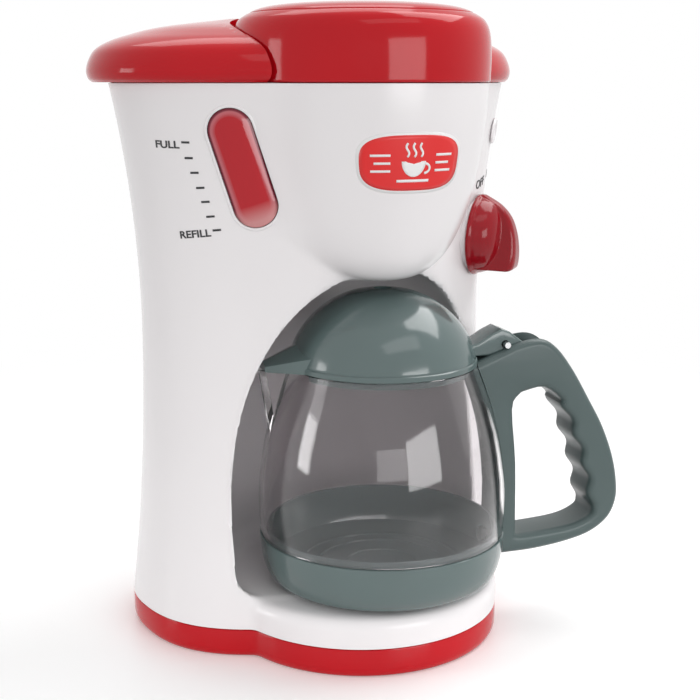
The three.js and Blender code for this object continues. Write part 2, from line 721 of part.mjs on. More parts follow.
function rearLid() {
  const dome = rearLidForm(0);
  const frontCut = frontLidRadius + lidCutGap;
  const collar = solid(turned([[0, lidLow], [frontCut + lidWall, lidLow], [frontCut + lidWall, lidLow + rearLidHeight],
    [0, lidLow + rearLidHeight]]).translate(0, lobeY, 0));
  const lipLow = bodyTop - lipDepth;
  const lipForm = (inset, low, high) => solid(loft([low, high].map((z) => (
    ovalRing(towerHalfX(lipLow) - inset, towerHalfY(lipLow) - inset, crownPowerShare, towerY, z, hiddenSteps)))));
  const outerInset = wall + 2 * seat;
  const flange = dome.intersect(lipForm(-crownHalfX, lidLow, lidLow + lidWall));
  const lip = lipForm(outerInset, lipLow, lidLow + lidWall);
  const rim = cut(join(flange, lip), lipForm(outerInset + lipThick, lipLow - over, lidLow + over));
  let body = join(cut(dome, rearLidForm(lidWall)), collar.intersect(dome), rim);
  const knuckleRoom = solid(rod(knuckleRadius + seat * 2, 2 * knuckleHalf + 2 * seat, smallSteps * 2)
    .rotateY(Math.PI / 2).translate(-knuckleHalf - seat, hingeY, hingeZ));
  const armRoom = solid(block(-knuckleHalf - seat, knuckleHalf + seat, lobeY, hingeY, hingeZ - knuckleRadius - seat * 2,
    hingeZ + knuckleArm));
  const wells = [0, lidSwingRoom].map((forward) => (
    solid(rod(frontCut, bodyTop + rearLidHeight * 2, turnSteps).translate(0, lobeY - forward, 0))));
  body = cut(body, ...wells, armRoom);
  for (const side of [-1, 1]) {
    const from = side < 0 ? -knuckleHalf - seat - earWidth : knuckleHalf + seat;
    const ear = solid(rod(knuckleRadius, earWidth).rotateY(Math.PI / 2).translate(from, hingeY, hingeZ));
    const foot = solid(block(from, from + earWidth, hingeY - knuckleRadius / 2, hingeY + knuckleRadius, hingeZ - knuckleRadius * 2,
      hingeZ));
    body = join(body, ear, foot);
  }
  const pinHole = solid(rod(lidPinRadius + seat, 4 * knuckleHalf).rotateY(Math.PI / 2)
    .translate(-2 * knuckleHalf, hingeY, hingeZ));
  return cut(body, knuckleRoom, pinHole);
}

function frontLid() {
  const shell = (inset) => {
    const rows = frontLidRadiusShares.map((share, i) => (
      [frontLidRadius * share - inset, lidLow + (frontLidHeight - inset) * frontLidHeightShares[i]]));
    const low = inset === 0 ? lidLow : lidLow - over;
    const profile = [[0, low], [frontLidRadius - inset, low], ...rows, [0, lidLow + frontLidHeight - inset]];
    return solid(turned(profile, inset > 0 ? hiddenSteps : turnSteps).translate(0, lobeY, 0));
  };
  const knuckle = solid(rod(knuckleRadius, 2 * knuckleHalf).rotateY(Math.PI / 2).translate(-knuckleHalf, hingeY, hingeZ));
  const arm = solid(block(-knuckleHalf, knuckleHalf, hingeY - knuckleArm, hingeY, hingeZ - knuckleRadius * 0.9,
    hingeZ + knuckleRadius * 0.3));
  const pinHole = solid(rod(lidPinRadius + seat, 4 * knuckleHalf).rotateY(Math.PI / 2)
    .translate(-2 * knuckleHalf, hingeY, hingeZ));
  return cut(join(cut(shell(0), shell(lidWall)), knuckle, arm), pinHole);
}

const lidPin = () => solid(rod(lidPinRadius, 2 * (knuckleHalf + seat + earWidth)).rotateY(Math.PI / 2)
  .translate(-knuckleHalf - seat - earWidth, hingeY, hingeZ));

// Filter basket: a tapered cup hanging by its rim on the bowl's ledge
function filterBasket() {
  const rimLow = ledgeHeight + ledgeThick + seat;
  const rimHigh = rimLow + basketRimThick;
  const outside = [[0, basketFloor], [basketFoot, basketFloor], [basketTop, rimLow], [basketRim, rimLow],
    [basketRim, rimHigh]];
  const inside = [[basketTop - basketWall, rimHigh], [basketFoot - basketWall, basketFloor + basketWall],
    [0, basketFloor + basketWall]];
  let body = solid(turned([...outside, ...inside]));
  for (let i = 0; i < basketRibs; i++) {
    const rib = block(basketHole * 2, basketFoot, -basketWall / 2, basketWall / 2, basketFloor + basketWall / 2,
      basketFloor + basketWall * 2).rotateZ(2 * Math.PI * i / basketRibs);
    body = join(body, solid(rib));
  }
  return cut(body, solid(rod(basketHole, over * 2).translate(0, 0, basketFloor - over)));
}

// Points of a capsule outline, upright, round its middle
function capsule(half, radius, steps = 8) {
  return [0, Math.PI].flatMap((from) => Array.from({ length: steps + 1 }, (_, i) => {
    const angle = from + Math.PI * i / steps;
    return [radius * Math.cos(angle), (from === 0 ? half : -half) + radius * Math.sin(angle)];
  }));
}

const windowFrame = frontFace(windowX, windowHeight).multiply(new THREE.Matrix4().makeRotationZ(windowTilt));

function slab(outline, from, to) {
  const shape = new THREE.Shape(outline.map(([x, y]) => new THREE.Vector2(x, y)));
  return new THREE.ExtrudeGeometry(shape, { depth: to - from, bevelEnabled: false }).translate(0, 0, from);
}

const windowOpening = () => solid(slab(capsule(windowHalf, windowRadius + seat), -over, over).applyMatrix4(windowFrame));

function windowLens() {
  const low = -lensFlangeDepth - lensFlangeThick;
  const rings = [[0, low], [0, lensProud - lensRound]];
  for (let i = 1; i <= lensSteps; i++) {
    const angle = Math.PI / 2 * i / lensSteps;
    rings.push([lensRound * (1 - Math.cos(angle)), lensProud - lensRound + lensRound * Math.sin(angle)]);
  }
  const crown = loft(rings.map(([draw, z]) => (
    capsule(windowHalf, windowRadius - draw).map(([x, y]) => new THREE.Vector3(x, y, z)))));
  const flange = slab(capsule(windowHalf, windowRadius + lensFlange), low, -lensFlangeDepth);
  return cut(join(solid(crown.applyMatrix4(windowFrame)), solid(flange.applyMatrix4(windowFrame))), headForm(-seat));
}

function windowBacking() {
  const back = -lensFlangeDepth - lensFlangeThick - seat;
  const plate = slab(capsule(windowHalf, windowRadius + lensFlange), back - backingThick, back);
  const hole = rod(lampRadius + seat, over * 2).translate(-lampAside, -lampDown, back - over);
  return cut(solid(plate.applyMatrix4(windowFrame)), solid(hole.applyMatrix4(windowFrame)), headForm(-seat));
}

function windowLamp() {
  const front = -lensFlangeDepth - lensFlangeThick - seat - backingThick / 2;
  return solid(rod(lampRadius, lampLength).translate(-lampAside, -lampDown, front - lampLength).applyMatrix4(windowFrame));
}

// Indicator: a ring with a stem through the wall and a light in its bore
const indicatorFrame = frontFace(indicatorX, indicatorHeight);
const indicatorOpening = () => solid(rod(ringStem + seat, over * 2).translate(0, 0, -over).applyMatrix4(indicatorFrame));

function indicatorRing() {
  const profile = [[ringBore, -ringDepth], [ringStem, -ringDepth], [ringStem, seat], [ringRadius, seat],
    [ringRadius, seat + ringThick * 0.6], [ringRadius * 0.88, seat + ringThick], [ringBore, seat + ringThick * 0.7],
    [ringBore, -ringDepth]];
  return solid(turned(profile, smallSteps * 2).applyMatrix4(indicatorFrame));
}

function indicatorLed() {
  const profile = [[0, -ledDepth], [ledRadius, -ledDepth], [ledRadius, 0], [ledRadius * 0.7, ledProud * 0.8], [0, ledProud]];
  return solid(turned(profile, smallSteps).applyMatrix4(indicatorFrame));
}

// Knob, its stem, the pad and socket on the housing and the switch
const knobFrame = frontFace(knobX, knobHeight);
const switchFront = -padDepth - seat;

function knobPad() {
  const pad = solid(rod(padRadius, padDepth + padProud, turnSteps).translate(0, 0, -padDepth).applyMatrix4(knobFrame));
  const half = switchSide / 2 + seat;
  const outer = block(-half - socketWall, half + socketWall, -half - socketWall, half + socketWall,
    -padDepth - socketDepth, -padDepth + wall);
  const inner = block(-half, half, -half, half, -padDepth - socketDepth - over, -padDepth);
  return join(pad, cut(solid(outer.applyMatrix4(knobFrame)), solid(inner.applyMatrix4(knobFrame))));
}

const knobOpening = () => solid(rod(stemRadius + 2 * seat, padDepth * 4).translate(0, 0, -padDepth * 2)
  .applyMatrix4(knobFrame));

function knob() {
  const low = padProud + seat;
  const profile = [[0, low], [knobRadius, low], [knobRadius, low + knobFlange], [knobRadius * 0.955, low + knobFlange * 1.3],
    [knobRadius * 0.925, knobDomeHeight * 0.4], [knobRadius * 0.82, knobDomeHeight * 0.68],
    [knobRadius * 0.6, knobDomeHeight * 0.9], [knobRadius * 0.3, knobDomeHeight * 0.99], [0, knobDomeHeight]];
  const grip = gripPlaceShares.map((place, i) => {
    const [half, high] = [knobRadius * gripWidthShares[i], knobGripHeight * gripHeightShares[i]];
    const foot = low + knobFlange / 2;
    return [[half * 1.5, foot], [half * 1.1, high * 0.6 + foot * 0.4], [half, high * 0.94], [half * 0.7, high],
      [-half * 0.7, high], [-half, high * 0.94], [-half * 1.1, high * 0.6 + foot * 0.4], [-half * 1.5, foot]]
      .map(([x, z]) => new THREE.Vector3(x, place * knobRadius, z));
  });
  const body = join(solid(turned(profile).applyMatrix4(knobFrame)), solid(loft(grip).applyMatrix4(knobFrame)));
  return cut(body, solid(rod(stemRadius + seat, stemSocket + seat).applyMatrix4(knobFrame)));
}

const stemLength = stemSocket + padDepth + switchDepth - wall;
const knobStem = () => solid(rod(stemRadius, stemLength).translate(0, 0, stemSocket - stemLength).applyMatrix4(knobFrame));

function rotarySwitch() {
  const half = switchSide / 2;
  const box = block(-half, half, -half, half, switchFront - switchDepth, switchFront);
  const bore = rod(stemRadius + seat, over * 4).translate(0, 0, switchFront - switchDepth + wall / 2);
  return cut(solid(box.applyMatrix4(knobFrame)), solid(bore.applyMatrix4(knobFrame)));
}

// Two cells side by side, one turned over, between springs and flat contacts
const cellY = boxInner - boxDepth / 2;
const places = (...frames) => new THREE.Matrix4().copy(frames.reduce((all, one) => all.multiply(one), new THREE.Matrix4()));

// Frame of a cell: Z runs from its flat end to its nub
function cellFrame(side) {
  const up = side < 0;
  const foot = up ? bayFloor + springRoom : boxHigh - springRoom;
  return places(new THREE.Matrix4().makeTranslation(side * cellPitch / 2, cellY, foot),
    new THREE.Matrix4().makeRotationX(up ? 0 : Math.PI));
}

function cell(side) {
  const can = rod(cellRadius, cellLength, turnSteps / 2).applyMatrix4(cellFrame(side));
  const nub = rod(cellNubRadius, cellNub + over).translate(0, 0, cellLength - over).applyMatrix4(cellFrame(side));
  return join(solid(can), solid(nub));
}

// A wire spring that narrows from the wall towards the cell's flat end
function contactSpring(side) {
  const points = [];
  const stepsPerTurn = 6;
  const length = springRoom - contactThick - 3 * seat - springWire * 2;
  for (let i = 0; i <= springTurns * stepsPerTurn; i++) {
    const share = i / (springTurns * stepsPerTurn);
    const angle = 2 * Math.PI * springTurns * share;
    const radius = springRadius * THREE.MathUtils.lerp(1, springTopShare, share);
    points.push(new THREE.Vector3(radius * Math.cos(angle), radius * Math.sin(angle), length * share));
  }
  const section = new THREE.Shape();
  section.absarc(0, 0, springWire, 0, 2 * Math.PI);
  const path = new THREE.CatmullRomCurve3(points);
  const wire = new THREE.ExtrudeGeometry(section, { steps: springTurns * stepsPerTurn, extrudePath: path, curveSegments: springSides });
  const foot = springWire + seat + contactThick + seat - springRoom;
  return solid(wire.translate(0, 0, foot).applyMatrix4(cellFrame(side)));
}

// A flat contact against the box's end wall, round one cell's axis or across both
function contactPlate(from, to, z0) {
  return solid(block(from, to, cellY - contactSide / 2, cellY + contactSide / 2, z0, z0 + contactThick));
}

const plateLow = bayFloor + seat;
const plateHigh = boxHigh - seat - contactThick;
const contactLink = () => contactPlate(-cellPitch / 2 - contactSide / 2, cellPitch / 2 + contactSide / 2, plateLow);
const contactTop = (side) => contactPlate(side * cellPitch / 2 - contactSide / 2, side * cellPitch / 2 + contactSide / 2,
  plateHigh);

const doorScrew = () => screw(doorScrewLength,
  new THREE.Matrix4().makeRotationX(-Math.PI / 2).setPosition(0, doorSeat, doorScrewZ));

// Circuit board on two posts, with its chip and sound driver blobs on the inner side
function circuitBoard() {
  const plate = block(-boardHalfX, boardHalfX, boardY - seat - boardThick, boardY - seat, boardLow, boardHigh);
  const chip = block(-chipSide / 2, chipSide / 2, boardY - seat - boardThick - chipThick, boardY - seat - boardThick / 2,
    (boardLow + boardHigh) / 2 - chipSide / 2, (boardLow + boardHigh) / 2 + chipSide / 2);
  const plug = block(boardHalfX - chipSide, boardHalfX - chipThick, boardY - seat - boardThick - chipThick * 2,
    boardY - seat - boardThick / 2, boardLow + chipThick, boardLow + chipThick * 3);
  const holes = boardScrews.map(([x, z]) => solid(alongY(rod(screwShank + seat, over * 2), x, boardY - over * 1.5, z)));
  return cut(join(solid(plate), solid(chip), solid(plug)), ...holes);
}

function speaker() {
  const frame = speakerRadius * speakerFrameShare;
  const profile = [[0, -speakerDepth], [magnetRadius, -speakerDepth], [magnetRadius, -speakerDepth / 2],
    [frame, -speakerRimThick], [speakerRadius, -speakerRimThick], [speakerRadius, 0], [frame, 0],
    [frame / 2, -speakerRimThick], [0, -speakerRimThick / 2]];
  return solid(alongY(turned(profile, turnSteps / 2), 0, speakerSeatY - seat, speakerHeight));
}

// Bar with a ring behind the speaker's rim, held by a screw at each end
function speakerClamp() {
  const reach = clampScrewX + clampBar / 2;
  const bar = block(-reach, reach, clampY, clampY + clampThick, speakerHeight - clampBar / 2, speakerHeight + clampBar / 2);
  const ring = alongY(rod(speakerRadius, clampThick, turnSteps / 2), 0, clampY, speakerHeight);
  const inner = speakerRadius * speakerFrameShare + 2 * seat;
  const room = alongY(rod(inner, over * 2, turnSteps / 2), 0, clampY - over, speakerHeight);
  const holes = [-1, 1].map((side) => (
    solid(alongY(rod(screwShank + seat, over * 2), side * clampScrewX, clampY - over, speakerHeight))));
  return cut(join(solid(bar), solid(ring)), solid(room), ...holes);
}

// Jug, in its own frame: axis on Z at the origin, handle towards +X, heights above the warming plate
const cupLow = plateTop + seat;
const cupTop = cupLow + cupHeight;
const glassLow = cupTop + seat;
const glassTop = glassLow + glassHeight;

const cupOutline = (inset) => cupRadiusShares.map((share, i) => (
  [cupRadius * share - inset, cupLow + inset + (cupHeight - inset) * cupHeightShares[i]]));

function jugCup() {
  const outside = [[0, cupLow], ...cupOutline(0)];
  const lip = cupRadius - glassWall - 2 * seat;
  const rim = [[lip, cupTop], [lip, cupTop + cupLipHeight], [lip - cupWall / 2, cupTop + cupLipHeight]];
  const floor = cupLow + cupFloor;
  const inside = cupOutline(cupWall).reverse().filter(([, z]) => z > floor + cupWall && z < cupTop - cupWall);
  const profile = [...outside, ...rim, ...inside, [cupRadius * 0.8 - cupWall, floor], [0, floor]];
  return cut(solid(turned(profile)), cupScrewHole());
}

const cupScrewHole = () => solid(rod(screwShank + seat, over * 3).rotateY(Math.PI / 2)
  .translate(cupRadius - over * 2, 0, handleScrewHeight));

const glassOutline = (inset) => glassRadiusShares.map((share, i) => (
  [cupRadius * share - inset, glassLow + glassHeight * glassHeightShares[i]]));

// Three-sided beak that leans out of the neck to a tip at the rim
function beak(inset) {
  const high = glassTop + (inset > 0 ? over : 0);
  const rise = (high - glassTop + beakDrop) / beakDrop;
  const root = -cupRadius * 0.6;
  const foot = -cupRadius * glassRadiusShares[4] + inset * 1.5;
  const tip = foot + (-beakTip + inset * 1.6 - foot) * rise;
  const half = (beakHalf - inset) * rise;
  const low = glassTop - beakDrop + inset;
  const bottom = [[root, wall / 10], [root, -wall / 10], [foot, 0]].map(([x, y]) => new THREE.Vector3(x, y, low));
  const top = [[root, half * 1.2], [root, -half * 1.2], [tip, 0]].map(([x, y]) => new THREE.Vector3(x, y, high));
  return solid(loft([bottom, top]));
}

function jugGlass() {
  const outer = glassOutline(0);
  const inner = glassOutline(glassWall);
  const full = solid(turned([[0, outer[0][1]], ...outer, [0, glassTop]]));
  const room = solid(turned([[0, glassLow - over], [inner[0][0], glassLow - over], ...inner,
    [inner.at(-1)[0], glassTop + over], [0, glassTop + over]]));
  return cut(join(full, beak(0)), room, beak(glassWall));
}

const lidLowZ = glassTop + seat;

function domeForm(inset) {
  const rows = domeRadiusShares.map((share, i) => (
    [domeRadius * share - inset, lidLowZ + (domeHeight - inset) * domeHeightShares[i]])).filter(([r]) => r > dripHole / 2);
  const low = inset === 0 ? lidLowZ : lidLowZ - over;
  const profile = [[0, low], [domeRadius - inset, low], ...rows, [0, lidLowZ + domeHeight - inset]];
  return solid(turned(profile, inset > 0 ? hiddenSteps : turnSteps));
}

// Spout cover: a ridge from the dome out over the beak, hollow underneath
function spoutCover(inset) {
  const low = inset > 0 ? lidLowZ - over : lidLowZ;
  const section = (x, half, rise) => [[half, low], [half, lidLowZ + rise * 0.7 - inset], [half * 0.45, lidLowZ + rise - inset],
    [-half * 0.45, lidLowZ + rise - inset], [-half, lidLowZ + rise * 0.7 - inset], [-half, low]]
    .map(([y, z]) => new THREE.Vector3(x, y, z));
  return solid(loft([section(-coverRoot + inset * 4, coverRootHalf - inset, coverRise),
    section(-coverTip + inset, coverTipHalf - inset, coverTipRise)]));
}

function lidArm() {
  const shape = new THREE.Shape();
  armShares.forEach(([out, up], i) => {
    const [x, y] = [jugPinOut * out, lidLowZ + armHeight * up];
    if (i === 0) shape.moveTo(x, y);
    else shape.lineTo(x, y);
  });
  const arm = new THREE.ExtrudeGeometry(shape, { depth: 2 * thumbHalf, bevelEnabled: false });
  return solid(arm.translate(0, 0, -thumbHalf).rotateX(Math.PI / 2));
}

function jugLid() {
  const hollow = join(domeForm(domeWall), spoutCover(domeWall));
  const shell = cut(join(domeForm(0), spoutCover(0)), hollow);
  const arm = cut(lidArm(), domeForm(domeWall));
  const lipOut = cupRadius * glassRadiusShares.at(-1) - glassWall - 2 * seat;
  const lip = solid(turned([[lipOut, lidLowZ - domeLip], [lipOut, lidLowZ + domeWall], [lipOut - domeWall, lidLowZ + domeWall],
    [lipOut - domeWall, lidLowZ - domeLip], [lipOut, lidLowZ - domeLip]]));
  const lipGap = solid(block(-cupRadius, -lipOut * 0.8, -beakHalf, beakHalf, lidLowZ - over, lidLowZ));
  const seatRing = solid(turned([[domeRadius - wall / 2, lidLowZ], [domeRadius - wall / 2, lidLowZ + domeWall],
    [lipOut - domeWall, lidLowZ + domeWall], [lipOut - domeWall, lidLowZ], [domeRadius - wall / 2, lidLowZ]]));
  const hole = solid(rod(domeHole, domeHeight * 2).translate(0, 0, lidLowZ + domeHeight / 2));
  const pinHole = solid(rod(jugPinRadius + seat, handleHalf * 4).translate(0, 0, -handleHalf * 2)
    .rotateX(Math.PI / 2).translate(jugPinOut, 0, jugPinHeight));
  return cut(join(shell, arm, cut(lip, lipGap), cut(seatRing, spoutCover(domeWall))), hole, pinHole);
}

const jugPin = () => solid(rod(jugPinRadius, handleHalf * 2 - 2 * seat).translate(0, 0, -handleHalf + seat)
  .rotateX(Math.PI / 2).translate(jugPinOut, 0, jugPinHeight));

// Handle: its outline is extruded with rounded edges, then fitted to the glass, slotted and bored
function handle() {
  const inside = handleInner - 3 * handleRound;
  const rise = handleTop - handleLow;
  const shape = new THREE.Shape();
  shape.moveTo(inside, handleLow);
  shape.lineTo(handleInner, handleLow);
  shape.splineThru(handleOuterShares.map(([out, up]) => new THREE.Vector2(handleOut * out, handleLow + rise * up)));
  shape.lineTo(inside - 4 * handleRound, glassTop - handleRound);
  shape.lineTo(inside - 4 * handleRound, (glassTop + cupTop) / 2);
  shape.holes.push(fingerHole());
  const plate = new THREE.ExtrudeGeometry(shape, {
    depth: 2 * (handleHalf - handleRound), bevelEnabled: true, bevelThickness: handleRound, bevelSize: handleRound,
    bevelOffset: -handleRound, bevelSegments: 2, curveSegments: 2,
  }).translate(0, 0, handleRound - handleHalf).rotateX(Math.PI / 2);
  const outline = glassOutline(-seat).filter(([r]) => r > domeRadius + 2 * seat);
  const grown = solid(turned([[0, cupLow - over], [handleInner, cupLow - over], [handleInner, handleEdgeTop],
    ...outline.filter(([, z]) => z > handleEdgeTop), [domeRadius + 2 * seat, glassTop],
    [domeRadius + 2 * seat, glassTop + domeLip], [0, glassTop + domeHeight]]));
  const slot = solid(block(0, slotReach, -thumbHalf - seat, thumbHalf + seat, slotFloor, handleTop + over));
  const pinHole = solid(rod(jugPinRadius + seat, handleHalf * 4).translate(0, 0, -handleHalf * 2)
    .rotateX(Math.PI / 2).translate(jugPinOut, 0, jugPinHeight));
  const pilot = solid(rod(screwShank + seat, handleScrewLength + over * 1.3).rotateY(Math.PI / 2)
    .translate(handleInner - over * 2, 0, handleScrewHeight));
  return cut(solid(plate), grown, slot, pinHole, pilot);
}

// Finger hole with waves for four fingers on its outer side
function fingerHole() {
  const hole = new THREE.Path();
  const points = [];
  const waveSteps = 4 * gripWaves;
  const corner = wall * 2;
  points.push([holeIn + wall, holeLow], [holeOut - corner, holeLow + wall]);
  for (let i = 0; i <= waveSteps; i++) {
    const share = i / waveSteps;
    const z = holeLow + corner + (holeHigh - holeLow - 2 * corner) * share;
    const lean = (holeOut - holeIn) * 0.42 * share ** 1.7;
    points.push([holeOut - lean + gripWave * Math.sin(2 * Math.PI * gripWaves * share), z]);
  }
  points.push([holeIn + (holeOut - holeIn) * 0.38, holeHigh], [holeIn + wall, holeHigh - wall], [holeIn, holeHigh - corner * 1.6]);
  points.push([holeIn + wall * 0.8, (holeLow + holeHigh) / 2], [holeIn + wall, holeLow + corner]);
  points.reverse().forEach(([x, y], i) => (i === 0 ? hole.moveTo(x, y) : hole.lineTo(x, y)));
  hole.closePath();
  return hole;
}

// Scene graph
const machine = new THREE.Group();
const jug = new THREE.Group();
jug.position.set(jugX, jugY, 0);
jug.rotation.z = handleTurn;

function add(group, name, body, finish) {
  const mesh = new THREE.Mesh(geometryOf(body), new THREE.MeshStandardMaterial(finish));
  mesh.name = name;
  group.add(mesh);
}

const shell = shellForm();
const facing = (turn, x, y, z) => new THREE.Matrix4().makeRotationX(turn).setPosition(x, y, z);

add(machine, 'front_housing', frontHousing(shell), white);
add(machine, 'rear_cover', rearCover(shell), white);
add(machine, 'bay_liner', bayLiner(), white);
add(machine, 'brew_bowl', brewBowl(), white);
add(machine, 'base_tray', baseTray(), red);
add(machine, 'rear_lid', rearLid(), red);
add(machine, 'front_lid', frontLid(), red);
add(machine, 'lid_hinge_pin', lidPin(), steel);
const basket = new THREE.Group();
basket.position.set(0, lobeY, 0);
machine.add(basket);
add(basket, 'filter_basket', filterBasket(), grey);
coverScrews.forEach(({ x, z }, i) => {
  add(machine, `cover_screw_${i + 1}`, screw(screwLength, facing(-Math.PI / 2, x, splitY + 2 * seat + wall, z)), steel);
});
trayScrews.forEach(({ x, y }, i) => {
  add(machine, `tray_screw_${i + 1}`, screw(screwLength - wall, facing(Math.PI, x, y, trayHeight - 2 * seat - wall)), steel);
});
add(machine, 'window_lens', windowLens(), lensRed);
add(machine, 'window_backing', windowBacking(), white);
add(machine, 'window_lamp', windowLamp(), lampClear);
add(machine, 'indicator_ring', indicatorRing(), white);
add(machine, 'indicator_led', indicatorLed(), black);
add(machine, 'knob', knob(), darkRed);
add(machine, 'knob_stem', knobStem(), white);
add(machine, 'rotary_switch', rotarySwitch(), black);
add(machine, 'battery_door', batteryDoor(shell), white);
add(machine, 'battery_door_screw', doorScrew(), steel);
add(machine, 'cell_1', cell(-1), cellBlue);
add(machine, 'cell_2', cell(1), cellBlue);
add(machine, 'contact_spring_1', contactSpring(-1), steel);
add(machine, 'contact_spring_2', contactSpring(1), steel);
add(machine, 'contact_link', contactLink(), steel);
add(machine, 'contact_positive', contactTop(-1), steel);
add(machine, 'contact_negative', contactTop(1), steel);
add(machine, 'circuit_board', circuitBoard(), boardGreen);
boardScrews.forEach(([x, z], i) => {
  add(machine, `board_screw_${i + 1}`, screw(trimScrewLength, facing(Math.PI / 2, x, boardY - 2 * seat - boardThick, z)),
    steel);
});
add(machine, 'speaker', speaker(), black);
add(machine, 'speaker_clamp', speakerClamp(), black);
[-1, 1].forEach((side, i) => {
  add(machine, `clamp_screw_${i + 1}`, screw(trimScrewLength, facing(Math.PI / 2, side * clampScrewX, clampY - seat,
    speakerHeight)), steel);
});
machine.add(jug);
add(jug, 'jug_cup', jugCup(), grey);
add(jug, 'jug_glass', jugGlass(), smoke);
add(jug, 'jug_lid', jugLid(), grey);
add(jug, 'jug_handle', handle(), grey);
add(jug, 'jug_lid_pin', jugPin(), steel);
const handleScrewPlace = new THREE.Matrix4().makeRotationY(-Math.PI / 2)
  .setPosition(cupRadius * cupRadiusShares[3] - cupWall - seat, 0, handleScrewHeight);
add(jug, 'handle_screw', screw(handleScrewLength, handleScrewPlace), steel);

export default machine;
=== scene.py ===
"""Toy coffee maker: smooth plastic shells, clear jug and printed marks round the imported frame.

Shapes are modelled in millimetres and scaled to metres when a piece is finished.
"""
import math

import bmesh
import bpy
import numpy as np
from mathutils import Matrix, Vector


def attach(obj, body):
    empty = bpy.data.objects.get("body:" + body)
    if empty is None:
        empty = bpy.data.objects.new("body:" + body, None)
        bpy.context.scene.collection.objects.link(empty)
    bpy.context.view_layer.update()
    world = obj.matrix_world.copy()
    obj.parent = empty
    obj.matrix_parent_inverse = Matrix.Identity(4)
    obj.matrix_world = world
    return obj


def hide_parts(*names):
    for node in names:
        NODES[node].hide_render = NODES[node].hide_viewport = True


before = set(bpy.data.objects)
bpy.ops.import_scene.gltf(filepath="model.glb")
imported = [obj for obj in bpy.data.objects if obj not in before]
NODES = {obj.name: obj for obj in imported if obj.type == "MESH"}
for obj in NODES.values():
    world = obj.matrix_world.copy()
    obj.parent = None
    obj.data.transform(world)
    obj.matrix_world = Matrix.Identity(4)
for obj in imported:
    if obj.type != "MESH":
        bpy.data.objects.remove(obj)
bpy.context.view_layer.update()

bl_info = {
    "name": "Toy Coffee Maker",
    "version": (1, 0, 0),
    "blender": (4, 5, 0),
    "location": "View3D > Sidebar > Coffee Maker",
    "description": "Models the visible pieces of a toy coffee maker round its frame",
    "category": "Object",
}

MM = 0.001
TAU = 2 * math.pi

# Tower plan and heights, in millimetres
TRAY_TOP = 10.8
PLATE_TOP = 22.0
WAIST_Z = 112.0
BODY_TOP = 204.0
TOWER_Y = 16.0
FOOT = (75.0, 52.0)
WAIST = (69.0, 47.84)
CROWN = (79.0, 55.0)
FOOT_POWER = 2.3
CROWN_POWER = 2.05
LOBE_Y = -17.0
LOBE_RADIUS = 51.8
PLATE_EDGE = 5.0

# Head, its blends into the tower, and bay
HEAD_RADIUS = 45.3
HEAD_BOTTOM = 135.0
HEAD_LEAN = 12.0
HEAD_FALL = 1.9
HEAD_ROUND = 0.39
HEAD_BOW = 3.1
LOBE_BLEND = 2.0
VALLEY_BLEND = 2.5
VALLEY_FROM = 142
VALLEY_RISE = 12
BAY_RADIUS = 55.0
BAY_SHOULDER = 45.0
BAY_TOP = 140.0
BAY_CORNER = 8.0
BAY_POWER = 2.3
SPLIT_Y = 41.0
GAP = 0.3
LID_LOW = BODY_TOP + GAP

# Places on the tower's front, (across, up)
WINDOW = (-51.1114, 175.8185)
WINDOW_TILT = 21.5
WINDOW_HALF = 13.2
WINDOW_RADIUS = 7.6
INDICATOR = (62.013, 186.0)
KNOB = (51.0008, 147.0)

# Screws, pins and walls
SCREW_HEAD = 3.3
SCREW_PILOT = 1.6
PIN = 1.5
LID_WALL = 2.2
JUG_WALL = 1.7

# Red lids
LID_RISE = 22.5
LID_HALF = (85, 61)
LID_Y = TOWER_Y + 4.5
LID_DRAW = 58
CAP_RADIUS = 46.4
HINGE = (30.4, 226.3)

# Rear cover: door, speaker and screws
BOX_INNER = 61.44
BOX_HALF = 18
DOOR_SEAT = 62.8
DOOR_SCREW_Z = 96.2
SPEAKER_Y = 61.8
SPEAKER_Z = 163.0
COVER_SCREWS = ((-59.61, 34), (59.61, 34), (-61.53, 188), (61.53, 188))
TRAY_SCREWS = ((-28, -44), (28, -44), (-67.96, 16), (67.96, 16))

# Jug
JUG_PLACE = (2.5, -27.5)
JUG_TURN = -17
CUP_LOW = 22.3
CUP_TOP = 40.3
CUP_RADIUS = 45.7
CUP_RISE = 18
GLASS_LOW = 40.6
GLASS_TOP = 103.3
GLASS_RISE = 62.7
JUG_LID_LOW = 103.6
DOME_RADIUS = 34.6
DOME_HEIGHT = 28.0
JUG_PIN = (46, 0, 109)
HANDLE_SCREW_Z = 33.5


# Sizes and colours that a user may change


class CoffeeSizes(bpy.types.PropertyGroup):
    voxel: bpy.props.FloatProperty(
        name="Shell detail", description="Edge length of the shell's faces", default=0.0016, min=0.001,
        max=0.004, unit="LENGTH", subtype="DISTANCE")
    wall: bpy.props.FloatProperty(
        name="Wall", description="Thickness of the moulded walls", default=0.0022, min=0.001, max=0.004,
        unit="LENGTH", subtype="DISTANCE")
    blend: bpy.props.FloatProperty(
        name="Head blend", description="Radius of the soft valley between head and tower", default=0.0075,
        min=0.001, max=0.03, unit="LENGTH", subtype="DISTANCE")
    arch_edge: bpy.props.FloatProperty(
        name="Arch edge", description="Rounding of the bay's edge", default=0.0022, min=0.0005, max=0.006,
        unit="LENGTH", subtype="DISTANCE")
    spin_steps: bpy.props.IntProperty(
        name="Turned steps", description="Faces round a turned piece", default=128, min=32, max=256)
    mark_proud: bpy.props.FloatProperty(
        name="Print height", description="How far printed marks stand off the plastic", default=0.00012,
        min=0.00005, max=0.0005, unit="LENGTH", subtype="DISTANCE")


